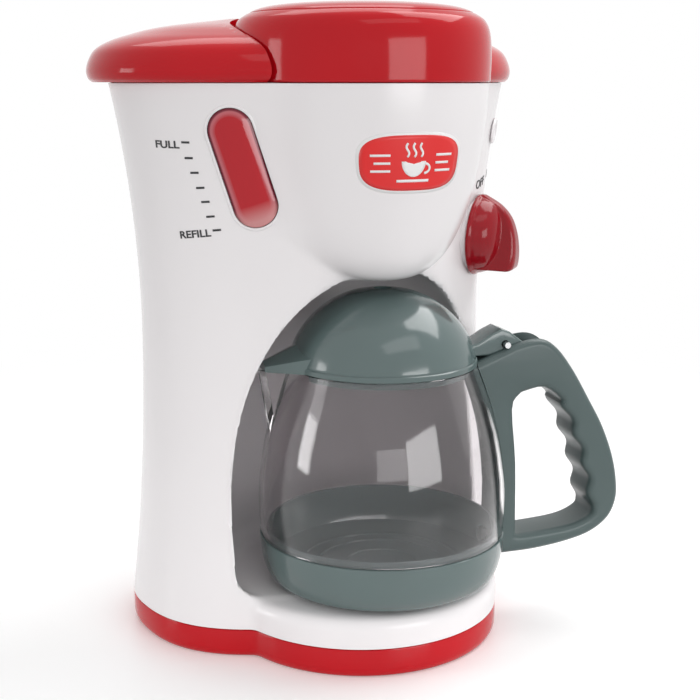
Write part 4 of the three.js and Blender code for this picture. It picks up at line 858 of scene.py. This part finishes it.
class COFFEE_OT_lids(bpy.types.Operator):
    """Model the rear lid with its well and hinge ears, and the hinged front lid"""
    bl_idname = "coffee.lids"
    bl_label = "Red lids"

    def execute(self, context):
        self.rear()
        self.front()
        return {"FINISHED"}

    def dome(self, inset, low=None):
        heights = [0, 0.06, 0.18, 0.34, 0.5, 0.62, 0.72, 0.86, 1]
        draws = [0.034, 0.01, 0, 0.016, 0.055, 0.13, 0.24, 0.465, 0.9]
        curve = smooth_path(list(zip(draws, heights)), 6)
        rings = []
        if low is not None:
            curve = [(0.0, 0.0)] + [p for p in curve if p[1] > 0.12]
            rings.append(self.oval(inset, low))
        rings += [self.oval(inset + LID_DRAW * draw, LID_LOW + (LID_RISE - inset) * min(share, 1))
                  for draw, share in curve]
        return loft("dome", rings)

    def oval(self, draw, z):
        return oval(max(LID_HALF[0] - draw, 2.4), max(LID_HALF[1] - draw, 1.2), CROWN_POWER, LID_Y, z, 160)

    def rear(self):
        dome = self.dome(0)
        collar = cylinder(CAP_RADIUS + LID_WALL, LID_LOW, LID_LOW + LID_RISE, y=LOBE_Y, steps=160)
        rim = self.lip(0.0, LID_LOW, LID_LOW + 2.2, 8)
        for part in (collar, rim):
            trim(part, dome)
        join(rim, self.lip(3.0, BODY_TOP - 2.8, LID_LOW + 2.2))
        cut(rim, self.lip(4.8, BODY_TOP - 9, LID_LOW + 6))
        cut(dome, self.dome(LID_WALL, LID_LOW - 6))
        join(dome, collar, rim)
        cut(dome, *[cylinder(CAP_RADIUS, 190, 260, y=LOBE_Y - forward, steps=160) for forward in (0, 3.5)],
            block(-10, 10, LOBE_Y, HINGE[0], HINGE[1] - 3.3, HINGE[1] + 5))
        for start in (-14.0, 10.0):
            join(dome, move(cylinder(2.7, 0, 4), turn(90, "Y", start, *HINGE)),
                 block(start, start + 4, HINGE[0] - 1.35, HINGE[0] + 2.7, HINGE[1] - 5.4, HINGE[1]))
        cut(dome, self.across(3.3, 20), self.across(PIN, 39))
        finish_piece(dome, "back_lid", "machine", "red", "body_red", "rear_lid", angle=32)

    def lip(self, inset, low, high, grow=0.0):
        z = BODY_TOP - 2.8
        half = half_x(z) - inset + grow, half_y(z) - inset + grow
        return loft("lip", [oval(*half, CROWN_POWER, TOWER_Y, h, 128) for h in (low, high)])

    def across(self, radius, length):
        return move(cylinder(radius, -length / 2, length / 2), turn(90, "Y", 0, *HINGE))

    def profile(self, inset):
        """The cap's side, crowned shoulder and shallow groove round its top panel."""
        body = [(45.3, 0), (45.9, 0.5), (46.0, 2), (46.15, 8), (45.8, 14.5), (45.0, 18.5), (43.4, 21.3),
                (41.2, 22.9), (40.1, 23.45)]
        top = [(39.3, 23.9), (37.5, 24.75), (34, 25.7), (28, 26.5), (20, 27.0), (10, 27.3), (0, 27.4)]
        if inset:
            rows = smooth_path([(45.9, 0)] + body[3:] + top, 4)
            return [(max(r - inset, 0), LID_LOW + z - inset * min(1, z / 14)) for r, z in rows]
        groove = [(39.9, 23.2), (39.5, 23.2)]
        return [(r, LID_LOW + z) for r, z in smooth_path(body, 5) + groove + smooth_path(top, 5)]

    def front(self):
        outer, inner = self.profile(0), self.profile(LID_WALL)
        cap = move(turned("cap", outer + inner[::-1], 160, closed=True), OVER_LOBE)
        web = block(-9.7, 9.7, HINGE[0] - 5, HINGE[0], HINGE[1] - 2.43, HINGE[1] + 0.8)
        join(cap, join(self.across(2.7, 19.4), web))
        cut(cap, self.across(PIN, 39))
        finish_piece(cap, "cap", "front_lid_body", "red", "body_red", "front_lid", angle=32)


# Operators: window, lamp and knob


class COFFEE_OT_window(bpy.types.Operator):
    """Model the domed red level window and the pale bead round its edge"""
    bl_idname = "coffee.window"
    bl_label = "Level window"

    def execute(self, context):
        place = window_frame()
        rows = [(0.0, -5.5), (0.0, 0.0)]
        rows += [(WINDOW_RADIUS * share, 1.6 * (1 - (1 - share) ** 2.6))
                 for share in (0.06, 0.14, 0.24, 0.36, 0.5, 0.64, 0.78, 0.9)]
        lens = move(loft_from([self.ring(WINDOW_RADIUS - draw, z) for draw, z in rows]), place)
        cut(lens, head_solid(inset=-GAP))
        finish_piece(lens, "window", "machine", "lens", "lens_red", "window_lens", angle=50)
        self.paint(lens, place)
        bead = [(WINDOW_RADIUS + 0.25, -1), (WINDOW_RADIUS + 0.25, 0.3), (WINDOW_RADIUS + 0.55, 0.5),
                (WINDOW_RADIUS + 0.95, 0.42), (WINDOW_RADIUS + 1.3, 0.1), (WINDOW_RADIUS + 1.3, -1)]
        edge = move(loft_from([self.ring(*row) for row in bead + bead[:1]]), place)
        finish_piece(edge, "window_bead", "machine", "white", "body_white", angle=50)
        return {"FINISHED"}

    def ring(self, radius, z):
        return [(x, y, self.sag(x, y) + z) for x, y in capsule(WINDOW_HALF, radius, 24)]

    def sag(self, x, y):
        """Depth of the tower's curved wall below the window's flat frame."""
        place = window_frame()
        at = place @ Vector((x, y, 0))
        out = Vector((place[0][2], place[1][2], place[2][2]))
        depth = 0.0
        for _ in range(8):
            p = at + out * depth
            depth += (front_y(p.x, p.z) - p.y) / out.y
        return depth

    def paint(self, lens, place):
        """Stores how far each point lies inside the lens edge, and how far down the window, where the foot
        gets a painted highlight.
        """
        back = (Matrix.Scale(MM, 4) @ place).inverted()
        layer = lens.data.attributes.new("margin", "FLOAT_COLOR", "POINT")
        for v in lens.data.vertices:
            p = back @ v.co
            reach = math.hypot(p.x, max(abs(p.y) - WINDOW_HALF, 0))
            down = 0.5 - p.y / (2 * (WINDOW_HALF + WINDOW_RADIUS))
            layer.data[v.index].color = (1 - min(reach / WINDOW_RADIUS, 1), down, 0, 1)


def loft_from(rings):
    """A closed skin over rings that have the same number of points; the ends are capped."""
    count = len(rings[0])
    points = [p for ring in rings for p in ring]
    faces = [[i * count + j, i * count + (j + 1) % count, (i + 1) * count + (j + 1) % count,
              (i + 1) * count + j]
             for i in range(len(rings) - 1) for j in range(count)]
    if rings[0] != rings[-1]:
        faces += [list(range(count))[::-1], [(len(rings) - 1) * count + j for j in range(count)]]
    return outward(mesh_piece("skin", points, faces))


class COFFEE_OT_knob(bpy.types.Operator):
    """Model the selector knob with its pinched grip, and the ring and lamp above it"""
    bl_idname = "coffee.knob"
    bl_label = "Knob and lamp"

    def execute(self, context):
        self.knob()
        self.indicator()
        return {"FINISHED"}

    def knob(self):
        low, radius, crest = 0.9, 15.5, 17.5
        profile = [(0, low), (radius - 0.25, low), (radius, low + 0.25), (radius, low + 1.2),
                   (radius - 0.35, low + 1.55)]
        profile += smooth_path([(14.8, 2.55), (14.3, 4.6), (12.7, 7.8), (9.3, 10.35), (4.65, 11.4),
                                (0, 11.5)], 6)
        disc = turned("disc", profile, 96)
        places = [1, 0.78, 0.5, 0.15, -0.2, -0.52, -0.74, -0.8]
        heights = [0.2, 0.56, 0.8, 0.93, 0.99, 1, 0.97, 0.9]
        widths = [0.1, 0.16, 0.2, 0.25, 0.3, 0.35, 0.38, 0.38]
        rings = []
        for (place, high), (_, width) in zip(smooth_path(list(zip(places, heights)), 4),
                                             smooth_path(list(zip(places, widths)), 4)):
            half, top, foot = radius * width, crest * high, low + 0.75
            side = [(half * 1.5, foot), (half * 1.12, high * crest * 0.6 + foot * 0.4), (half, top * 0.92),
                    (half * 0.84, top * 0.975), (half * 0.55, top)]
            rings.append([(x, place * radius, z) for x, z in side + [(-x, z) for x, z in reversed(side)]])
        join(disc, loft_from(rings))
        modify(disc, "REMESH", mode="VOXEL", voxel_size=0.34)
        modify(disc, "SMOOTH", factor=0.5, iterations=7)
        cut(disc, cylinder(3.3, -3, 8.3))
        finish_piece(disc, "selector_knob", "selector", "knob", "knob_red", "knob", place=front_frame(*KNOB),
                     angle=50)

    def indicator(self):
        place = front_frame(*INDICATOR)
        profile = [(2.3, -5), (3.5, -5), (3.5, 0.3), (4.9, 0.3), (5, 0.45), (4.95, 0.85), (4.7, 1.15),
                   (4.25, 1.3), (3.6, 1.25), (3.2, 0.95), (2.75, 0.75), (2.3, 0.7)]
        ring = turned("ring", profile, 64, closed=True)
        finish_piece(ring, "lamp_ring", "machine", "white", "body_white", "indicator_ring", place=place)
        lamp = turned("lamp", [(0, -8), (2, -8), (2, 0), (1.85, 0.35), (1.4, 0.62), (0.7, 0.74), (0, 0.78)],
                      48)
        finish_piece(lamp, "lamp_lens", "machine", "led", "black_plastic", "indicator_led", place=place)


# Operators: printed marks


TICKS = ((-66.32, 184.48), (-65.27, 179.21), (-63.7, 174.26), (-62.12, 169.16), (-60.69, 164.4),
         (-59.31, 159.38), (-57.57, 154.72))


class COFFEE_OT_marks(bpy.types.Operator):
    """Print the level scale with its words, the switch's words, and the badge on the head"""
    bl_idname = "coffee.marks"
    bl_label = "Printed marks"

    def execute(self, context):
        wall = bpy.data.objects["front_shell"]
        scale = [self.bar(3.0, 0.72, front_frame(*at) @ turn(10, "Z")) for at in TICKS]
        scale.append(self.word("FULL", 9.9, 2.6, front_frame(-70.2, 183.65), 15))
        scale.append(self.word("REFILL", 12.0, 2.6, front_frame(-62.9, 153.15), 12))
        self.lay(scale, "scale_print", wall)
        switch = [self.word("OFF", 10.6, 3.4, front_frame(53.2, 166.6), 5),
                  self.bar(0.75, 3.0, front_frame(62.2, 169.4) @ turn(-6, "Z"))]
        self.lay(switch, "switch_print", wall)
        self.badge(wall)
        return {"FINISHED"}

    def lay(self, marks, name, wall, ink="ink", slot="black_plastic", layers=1):
        """Joins flat marks, lays them on the wall and gives them the thickness of ink."""
        pick(*marks)
        if len(marks) > 1:
            bpy.ops.object.join()
        mark = finish_piece(bpy.context.object, name, "machine", ink, slot, angle=60)
        lift = sizes().mark_proud
        modify(mark, "SHRINKWRAP", target=wall, wrap_method="NEAREST_SURFACEPOINT", wrap_mode="ABOVE_SURFACE",
               offset=lift * layers)
        modify(mark, "SOLIDIFY", thickness=lift * 0.8, offset=-1, use_rim=True)

    def word(self, letters, width, height, place, tilt):
        deselect()
        bpy.ops.object.text_add()
        text = bpy.context.object
        text.data.body = letters
        text.data.resolution_u = 5
        text.data.offset = 0.022
        bpy.ops.object.convert(target="MESH")
        text = bpy.context.object
        low = [min(v.co[k] for v in text.data.vertices) for k in (0, 1)]
        high = [max(v.co[k] for v in text.data.vertices) for k in (0, 1)]
        fit = Matrix.Diagonal((width / (high[0] - low[0]), height / (high[1] - low[1]), 1, 1))
        centre = Matrix.Translation((-(low[0] + high[0]) / 2, -(low[1] + high[1]) / 2, 0))
        return move(text, place @ turn(tilt, "Z") @ fit @ centre)

    def bar(self, width, height, place):
        return move(self.strip([((i / 4 - 0.5) * width, 0) for i in range(5)], height), place)

    def strip(self, path, width):
        """A flat band along a path."""
        points = []
        for i, (x, y) in enumerate(path):
            (ax, ay), (bx, by) = path[max(i - 1, 0)], path[min(i + 1, len(path) - 1)]
            along = Vector((bx - ax, by - ay)).normalized() * width / 2
            points += [(x - along.y, y + along.x, 0), (x + along.y, y - along.x, 0)]
        faces = [(2 * i, 2 * i + 1, 2 * i + 3, 2 * i + 2) for i in range(len(path) - 1)]
        return mesh_piece("strip", points, faces)

    def disc(self, outline, rings=8):
        """A flat shape filled with rings that shrink to its middle, so that it can bend."""
        centre = np.mean(outline, axis=0)
        count = len(outline)
        points = [(*(centre + (np.array(p) - centre) * (1 - i / rings)), 0) for i in range(rings)
                  for p in outline]
        points.append((*centre, 0))
        faces = [(i * count + j, i * count + (j + 1) % count, (i + 1) * count + (j + 1) % count,
                  (i + 1) * count + j)
                 for i in range(rings - 1) for j in range(count)]
        last = (rings - 1) * count
        faces += [(last + j, last + (j + 1) % count, len(points) - 1) for j in range(count)]
        return mesh_piece("disc", points, faces)

    def plaque(self, half_x, half_y):
        return self.disc([p[:2] for p in oval(half_x, half_y, 3.2, 0, 0, 96)])

    def on_head(self, flat):
        """Bends a flat drawing round the head, centred where the badge sits."""
        middle, height, bend = -0.17, 178.2, 44
        for v in flat.data.vertices:
            z = height + v.co.y
            radius, lean = head_profile((BODY_TOP - z) / (BODY_TOP - HEAD_BOTTOM))
            a = middle + v.co.x / bend
            v.co = (radius * math.sin(a), LOBE_Y - lean - radius * math.cos(a), z)
        return flat

    def badge(self, wall):
        """A plain red plaque with a pale edge and a steaming cup."""
        self.lay([self.on_head(self.plaque(20.4, 10.2))], "badge_edge", wall, "badge_white", "body_white")
        self.lay([self.on_head(self.plaque(19.4, 9.2))], "badge_field", wall, "badge_red", "body_red", 2)
        bows = [math.pi * i / 20 for i in range(21)], [math.pi * i / 12 for i in range(13)]
        cup = [(-4.6 * math.cos(a), 0.6 - 5.2 * math.sin(a)) for a in bows[0]]
        ear = [(4.2 + 2.1 * math.sin(a), -0.2 - 1.6 * (1 - math.cos(a))) for a in bows[1]]
        motif = [self.disc(cup, 4), self.strip(ear, 0.8),
                 self.strip([(x * 0.9, -5.9) for x in range(-7, 8)], 0.9)]
        for x in (-2.6, 0, 2.6):
            path = [(x + 0.55 * math.sin(TAU * i / 12), 2.0 + 4.6 * i / 12) for i in range(13)]
            motif.append(self.strip(path, 0.75))
        for side in (-1, 1):
            for k, reach in enumerate((15.6, 14.4, 15.6)):
                y = 2.6 - k * 2.6
                motif.append(self.strip([(side * (8.6 + (reach - 8.6) * i / 8), y) for i in range(9)][::side],
                                        0.8))
        self.lay([self.on_head(m) for m in motif], "badge_motif", wall, "badge_white", "body_white", 3)


# Operators: brew pieces


class COFFEE_OT_basket(bpy.types.Operator):
    """Model the filter basket with its ribs and drain"""
    bl_idname = "coffee.basket"
    bl_label = "Filter basket"

    def execute(self, context):
        rim = 195.3
        profile = [(3, 157), (21, 157), (21.5, 157.5), (37.6, rim), (39.5, rim), (39.7, rim + 0.2),
                   (39.7, rim + 1.7), (39.4, rim + 2), (36.1, rim + 2), (35.8, rim + 1.6), (19.8, 159.2),
                   (19.4, 158.8), (3, 158.8)]
        basket = turned("basket", profile, closed=True)
        for i in range(12):
            rib = block(5, 19.2, -0.6, 0.6, 158.2, 160.2)
            join(basket, move(rib, Matrix.Rotation(TAU * i / 12, 4, "Z")))
        finish_piece(basket, "basket", "basket", "grey_matte", "basket_grey", "filter_basket",
                     place=OVER_LOBE)
        return {"FINISHED"}


# Operators: jug


JUG = turn(JUG_TURN, "Z", *JUG_PLACE)


def lid_pin():
    return move(cylinder(PIN, -18, 18), turn(90, "X", *JUG_PIN))


def handle_screw(start, length):
    return move(cylinder(SCREW_PILOT, 0, length), turn(90, "Y", start, 0, HANDLE_SCREW_Z))


def glass_curve(grow=0.0):
    shares = [0.99, 1.005, 1.005, 0.98, 0.938, 0.87, 0.805, 0.752]
    heights = [0, 0.12, 0.27, 0.43, 0.6, 0.77, 0.9, 1]
    return smooth_path([(CUP_RADIUS * s + grow, GLASS_LOW + GLASS_RISE * h) for s, h in zip(shares, heights)],
                       6)


class COFFEE_OT_jug(bpy.types.Operator):
    """Model the jug's cup and its smoke-clear glass with the three-sided beak"""
    bl_idname = "coffee.jug"
    bl_label = "Jug cup and glass"

    def execute(self, context):
        self.cup()
        self.glass()
        return {"FINISHED"}

    def cup(self):
        shares = [0.83, 0.89, 0.935, 0.97, 0.99, 1]
        heights = [0, 0.06, 0.17, 0.38, 0.65, 1]
        outer = smooth_path([(CUP_RADIUS * s, CUP_LOW + CUP_RISE * h) for s, h in zip(shares, heights)], 6)
        outer[-1] = (CUP_RADIUS, CUP_TOP - 0.3)
        outer.append((CUP_RADIUS - 0.3, CUP_TOP))
        lip = CUP_RADIUS - JUG_WALL - 0.6
        rim = [(lip, CUP_TOP), (lip, CUP_TOP + 2.4), (lip - 0.2, CUP_TOP + 2.6), (lip - 1.1, CUP_TOP + 2.6)]
        inner = [(r - 2.2, z) for r, z in outer[::-1] if 28.2 < z < CUP_TOP - 2.2]
        floor = 25.9
        rings = []
        for r in (31.5, 25, 14):
            rings += [(r + 0.9, floor), (r + 0.5, floor + 0.5), (r - 0.5, floor + 0.5), (r - 0.9, floor)]
        inner += [(37.2, 26.8), (35.6, floor)] + rings + [(6.4, floor), (5.6, floor + 1.2), (0, floor + 1.4)]
        cup = turned("cup", [(0, CUP_LOW + 0.8), (33, CUP_LOW + 0.8), (34.5, CUP_LOW), *outer, *rim, *inner])
        cut(cup, handle_screw(33.7, 18))
        finish_piece(cup, "cup", "jug", "grey", "jug_grey", "jug_cup", place=JUG)

    def beak(self, inset):
        fall = 23
        high = GLASS_TOP + (6 if inset else 0)
        rise = (high - GLASS_TOP + fall) / fall
        root, foot = -CUP_RADIUS * 0.6, -CUP_RADIUS * 0.938 + inset * 1.5
        tip = foot + (-46.5 + inset * 1.6 - foot) * rise
        half, low = (11 - inset) * rise, GLASS_TOP - fall + inset
        return loft_from([[(root, 0.24, low), (root, -0.24, low), (foot, 0, low)],
                          [(root, half * 1.2, high), (root, -half * 1.2, high), (tip, 0, high)]])

    def glass(self):
        outer = glass_curve()
        full = turned("glass", [(0, GLASS_LOW), *outer, (0, GLASS_TOP)])
        join(full, self.beak(0))
        inner = [(r - JUG_WALL, z) for r, z in outer]
        room = turned("room", [(0, GLASS_LOW - 6), (inner[0][0], GLASS_LOW - 6), *inner,
                               (inner[-1][0], GLASS_TOP + 6), (0, GLASS_TOP + 6)])
        cut(full, join(room, self.beak(JUG_WALL)))
        finish_piece(full, "glass", "jug", "glass", "smoke_clear", "jug_glass", place=JUG, angle=25)


class COFFEE_OT_jug_lid(bpy.types.Operator):
    """Model the jug's domed lid with its spout cover, vent and thumb lever"""
    bl_idname = "coffee.jug_lid"
    bl_label = "Jug lid"

    def execute(self, context):
        base = JUG_LID_LOW
        shares = [1, 0.985, 0.93, 0.84, 0.72, 0.55, 0.35, 0.15]
        heights = [0, 0.12, 0.32, 0.5, 0.665, 0.825, 0.935, 0.985]
        curve = smooth_path([(DOME_RADIUS * s, base + DOME_HEIGHT * h) for s, h in zip(shares, heights)], 6)
        side = [p for p in curve if p[1] > base + 2.6]
        outer = [(34.5, base), (34.75, base + 0.25), (34.75, base + 1.7), (34.5, base + 2.0),
                 (34.2, base + 2.15), *side, (0, base + DOME_HEIGHT)]
        lid = turned("lid", [(0, base), *outer])
        join(lid, self.cover(0))
        wall = 1.8
        room = [(r - wall, z - wall * min(1, (z - base) / 20)) for r, z in side]
        room = turned("room", [(0, base - 6), (32.7, base - 6), (32.7, base + 2), *room,
                               (0, base + DOME_HEIGHT - wall)])
        arm = cut(self.arm(), room, keep=True)
        cut(lid, join(room, self.cover(wall)))
        join(lid, arm)
        lip = turned("lip", [(32.07, base - 3), (32.07, base + 1.8), (30.27, base + 1.8), (30.27, base - 3)],
                     closed=True)
        join(lid, cut(lip, block(-46, -25.6, -11, 11, base - 6, base + 6)))
        cut(lid, cylinder(3.2, base + 14, base + 60), lid_pin())
        finish_piece(lid, "lid", "jug_lid_body", "grey", "jug_grey", "jug_lid", place=JUG, angle=30)
        return {"FINISHED"}

    def cover(self, inset):
        low = JUG_LID_LOW - (6 if inset else 0)
        rings = []
        for x, half, rise in ((-30 + inset * 4, 14 - inset, 9.5), (-45 + inset, 4.5 - inset, 3.0)):
            top = JUG_LID_LOW + rise - inset
            rings.append([(x, half, low), (x, half, JUG_LID_LOW + rise * 0.62 - inset), (x, half * 0.1, top),
                          (x, -half * 0.1, top), (x, -half, JUG_LID_LOW + rise * 0.62 - inset),
                          (x, -half, low)])
        return loft_from(rings)

    def arm(self):
        shares = [(0.6, 0.116), (0.6, 0.44), (0.767, 0.56), (0.876, 0.83), (0.967, 1), (1.039, 0.89),
                  (1.163, 0.51), (1.148, 0.357), (0.957, 0.18), (0.87, 0.116)]
        outline = [(46 * out, JUG_LID_LOW + 11.2 * up) for out, up in shares]
        return move(prism("arm", [(x, -z) for x, z in outline][::-1], -6, 6, edge=0.9), turn(-90, "X"))


WAVES = 4


class COFFEE_OT_handle(bpy.types.Operator):
    """Model the jug's handle from its outline, with rounded edges and a waved finger hole"""
    bl_idname = "coffee.handle"
    bl_label = "Jug handle"

    def execute(self, context):
        reach, low, rise = 93.8, 27.5, 82.9
        shares = [(0.63, 0.005), (0.775, 0.027), (0.884, 0.062), (0.962, 0.125), (0.996, 0.21),
                  (0.996, 0.304), (0.972, 0.432), (0.922, 0.575), (0.859, 0.703), (0.784, 0.846),
                  (0.709, 0.955), (0.638, 1), (0.541, 0.988), (0.453, 0.95)]
        outline = [(46.6, low)] + [(reach * o, low + rise * u) for o, u in shares]
        outline = [(38.8, low)] + smooth_path(outline, 5)
        outline += [(28.4, 100.7), (28.4, 71.8)]
        handle = self.plate(outline, self.hole())
        grown = [(0, 16.3), (46.6, 16.3), (46.6, 54)]
        grown += [p for p in glass_curve(0.3) if p[1] > 54 and p[0] > 35.2]
        grown += [(35.2, 103.3), (35.2, 106.3), (0, 131.3)]
        cut(handle, turned("fit", grown), block(0, 66, -6.3, 6.3, 104.6, 118, edge=0.6), lid_pin(),
            handle_screw(34.6, 15.8))
        finish_piece(handle, "handle", "jug", "grey_satin", "jug_grey", "jug_handle", place=JUG, angle=30)
        return {"FINISHED"}

    def hole(self):
        low, high, near, far, corner = 35, 91.8, 49, 82.5, 4.8
        points = [(near + 2.4, low), (near + 6, low - 0.2), (far - 12, low + 0.9), (far - corner, low + 2.4)]
        for i in range(25):
            share = i / 24
            lean = (far - near) * 0.42 * share ** 1.7
            points.append((far - lean + math.sin(TAU * WAVES * share),
                           low + corner + (high - low - 2 * corner) * share))
        points += [(near + (far - near) * 0.38, high), (near + 5.5, high - 0.9), (near + 2.4, high - 2.4),
                   (near, high - corner * 1.6), (near + 1.9, (low + high) / 2), (near + 2.4, low + corner)]
        return smooth_path(points + [points[0]], 3)[:-1]

    def plate(self, outline, hole):
        curve = bpy.data.curves.new("plate", "CURVE")
        curve.dimensions = "2D"
        curve.fill_mode = "BOTH"
        for points in (outline, hole):
            spline = curve.splines.new("POLY")
            spline.points.add(len(points) - 1)
            for point, (x, y) in zip(spline.points, points):
                point.co = (x, y, 0, 1)
            spline.use_cyclic_u = True
        half, edge = 9, 2.6
        curve.extrude = half - edge
        curve.bevel_depth = edge
        curve.bevel_resolution = 5
        curve.offset = -edge
        pick(link(bpy.data.objects.new("plate", curve)))
        bpy.ops.object.convert(target="MESH")
        return move(outward(bpy.context.object, 1e-3), turn(90, "X"))


# Stage


def aim(thing, direction):
    thing.rotation_mode = "QUATERNION"
    thing.rotation_quaternion = Vector(direction).to_track_quat("-Z", "Y")


PURE_WHITE = (1, 1, 1, 1)
CAMERA_LENS = 66.3
CAMERA_PLACE = (-0.2593, -0.4089, 0.205)
CAMERA_WAY = (0.5446, 0.8387)
CAMERA_PITCH = 11.82
FLOOR_FADE = (0.16, 0.5)
LAMP_REACH = 1.5
# Soft boxes: name, azimuth and rise from the object, width and height in degrees, brightness, seen in gloss
LAMPS = (
    ("upper_right", 86, 56, 38, 34, 4.4, True),
    ("front_window", 6, 6, 32, 19, 5.0, True),
    ("left_strip", -112, 2, 14, 22, 5.0, True),
    ("left_fill", -112, 10, 16, 30, 3.8, False),
    ("upper_front", 0, 52, 40, 16, 1.2, True),
    ("upper_back", 160, 57, 40, 20, 2.0, True),
    ("front_fill", -24, 6, 28, 14, 4.2, False),
    ("right_fill", 66, 8, 30, 20, 1.2, False),
)


def background_rays(tree):
    """One for rays that see the background: from the camera, off gloss and through clear plastic."""
    path = add_node(tree, "LightPath").outputs
    most = path["Is Camera Ray"]
    for name in ("Is Glossy Ray", "Is Transmission Ray"):
        most = add_node(tree, "Math", {0: most, 1: path[name]}, operation="MAXIMUM").outputs[0]
    return most


class COFFEE_OT_stage(bpy.types.Operator):
    """Set the pale floor, the soft lights and the camera at the photograph's view"""
    bl_idname = "coffee.stage"
    bl_label = "Floor, lights and camera"

    def execute(self, context):
        self.camera()
        self.floor()
        self.lights()
        self.world()
        context.scene.view_settings.view_transform = "Standard"
        return {"FINISHED"}

    def camera(self):
        data = bpy.data.cameras.new("camera")
        data.sensor_width = 36
        data.lens = CAMERA_LENS
        eye = link(bpy.data.objects.new("camera", data))
        eye.location = CAMERA_PLACE
        across, along = CAMERA_WAY
        pitch = math.radians(CAMERA_PITCH)
        aim(eye, (across * math.cos(pitch), along * math.cos(pitch), -math.sin(pitch)))
        data.clip_start = 0.01
        data.clip_end = 50
        bpy.context.scene.camera = eye

    def floor(self):
        deselect()
        bpy.ops.mesh.primitive_plane_add(size=24, location=(0, 0, 0))
        floor = bpy.context.object
        floor.name = "floor"
        made = bpy.data.materials.new("floor_white")
        made.use_nodes = True
        tree = made.node_tree
        tree.nodes.clear()
        seen = background_rays(tree)
        paper = add_node(tree, "BsdfPrincipled", {"Base Color": (0.86, 0.86, 0.86, 1), "Roughness": 0.38})
        lift = add_node(tree, "Math", {0: seen, 1: 0.2}, operation="MULTIPLY")
        glow = add_node(tree, "Emission", {"Color": PURE_WHITE, "Strength": lift.outputs[0]})
        near = add_node(tree, "AddShader", {0: paper.outputs[0], 1: glow.outputs[0]})
        far = add_node(tree, "Emission", {"Color": PURE_WHITE, "Strength": seen})
        place = add_node(tree, "TexCoord").outputs["Object"]
        reach = add_node(tree, "VectorMath", {0: place}, operation="LENGTH").outputs["Value"]
        fade = add_node(tree, "MapRange",
                        {"From Min": FLOOR_FADE[0], "From Max": FLOOR_FADE[1], "Value": reach},
                        interpolation_type="SMOOTHSTEP")
        mix = add_node(tree, "MixShader", {0: fade.outputs["Result"], 1: near.outputs[0], 2: far.outputs[0]})
        add_node(tree, "OutputMaterial", {"Surface": mix.outputs[0]})
        floor.data.materials.append(made)

    def lights(self):
        for name, azimuth, height, wide, tall, level, mirrored in LAMPS:
            a, e = math.radians(azimuth), math.radians(height)
            way = Vector((math.sin(a) * math.cos(e), -math.cos(a) * math.cos(e), math.sin(e)))
            data = bpy.data.lights.new(name, "AREA")
            data.shape = "RECTANGLE"
            data.size, data.size_y = (2 * LAMP_REACH * math.tan(math.radians(angle / 2))
                                      for angle in (wide, tall))
            data.energy = level * math.pi * data.size * data.size_y
            lamp = link(bpy.data.objects.new(name, data))
            lamp.location = Vector((0, 0, 0.12)) + way * LAMP_REACH
            aim(lamp, -way)
            lamp.visible_camera = False
            lamp.visible_glossy = mirrored

    def world(self):
        world = bpy.data.worlds.new("studio")
        bpy.context.scene.world = world
        world.use_nodes = True
        tree = world.node_tree
        level = add_node(tree, "MapRange", {"To Min": 0.46, "To Max": 1.0, "Value": background_rays(tree)})
        feed(tree.nodes["Background"], {"Color": PURE_WHITE, "Strength": level.outputs["Result"]})


# Panel and registration


class COFFEE_PT_panel(bpy.types.Panel):
    bl_label = "Coffee Maker"
    bl_idname = "COFFEE_PT_panel"
    bl_space_type = "VIEW_3D"
    bl_region_type = "UI"
    bl_category = "Coffee Maker"

    def draw(self, context):
        for group in (context.scene.coffee_sizes, context.scene.coffee_colours):
            for name in group.__annotations__:
                self.layout.prop(group, name)
        for operator in OPERATORS:
            self.layout.operator(operator.bl_idname)


OPERATORS = (COFFEE_OT_finishes, COFFEE_OT_shells, COFFEE_OT_tray, COFFEE_OT_lids, COFFEE_OT_window,
             COFFEE_OT_knob, COFFEE_OT_marks, COFFEE_OT_basket, COFFEE_OT_jug, COFFEE_OT_jug_lid,
             COFFEE_OT_handle, COFFEE_OT_stage)
CLASSES = (CoffeeSizes, CoffeeColours, *OPERATORS, COFFEE_PT_panel)


def register():
    for cls in CLASSES:
        bpy.utils.register_class(cls)
    bpy.types.Scene.coffee_sizes = bpy.props.PointerProperty(type=CoffeeSizes)
    bpy.types.Scene.coffee_colours = bpy.props.PointerProperty(type=CoffeeColours)


def unregister():
    del bpy.types.Scene.coffee_sizes
    del bpy.types.Scene.coffee_colours
    for cls in reversed(CLASSES):
        bpy.utils.unregister_class(cls)


def main():
    register()
    for operator in OPERATORS:
        group, name = operator.bl_idname.split(".")
        getattr(getattr(bpy.ops, group), name)()


if __name__ == "__main__":
    main()
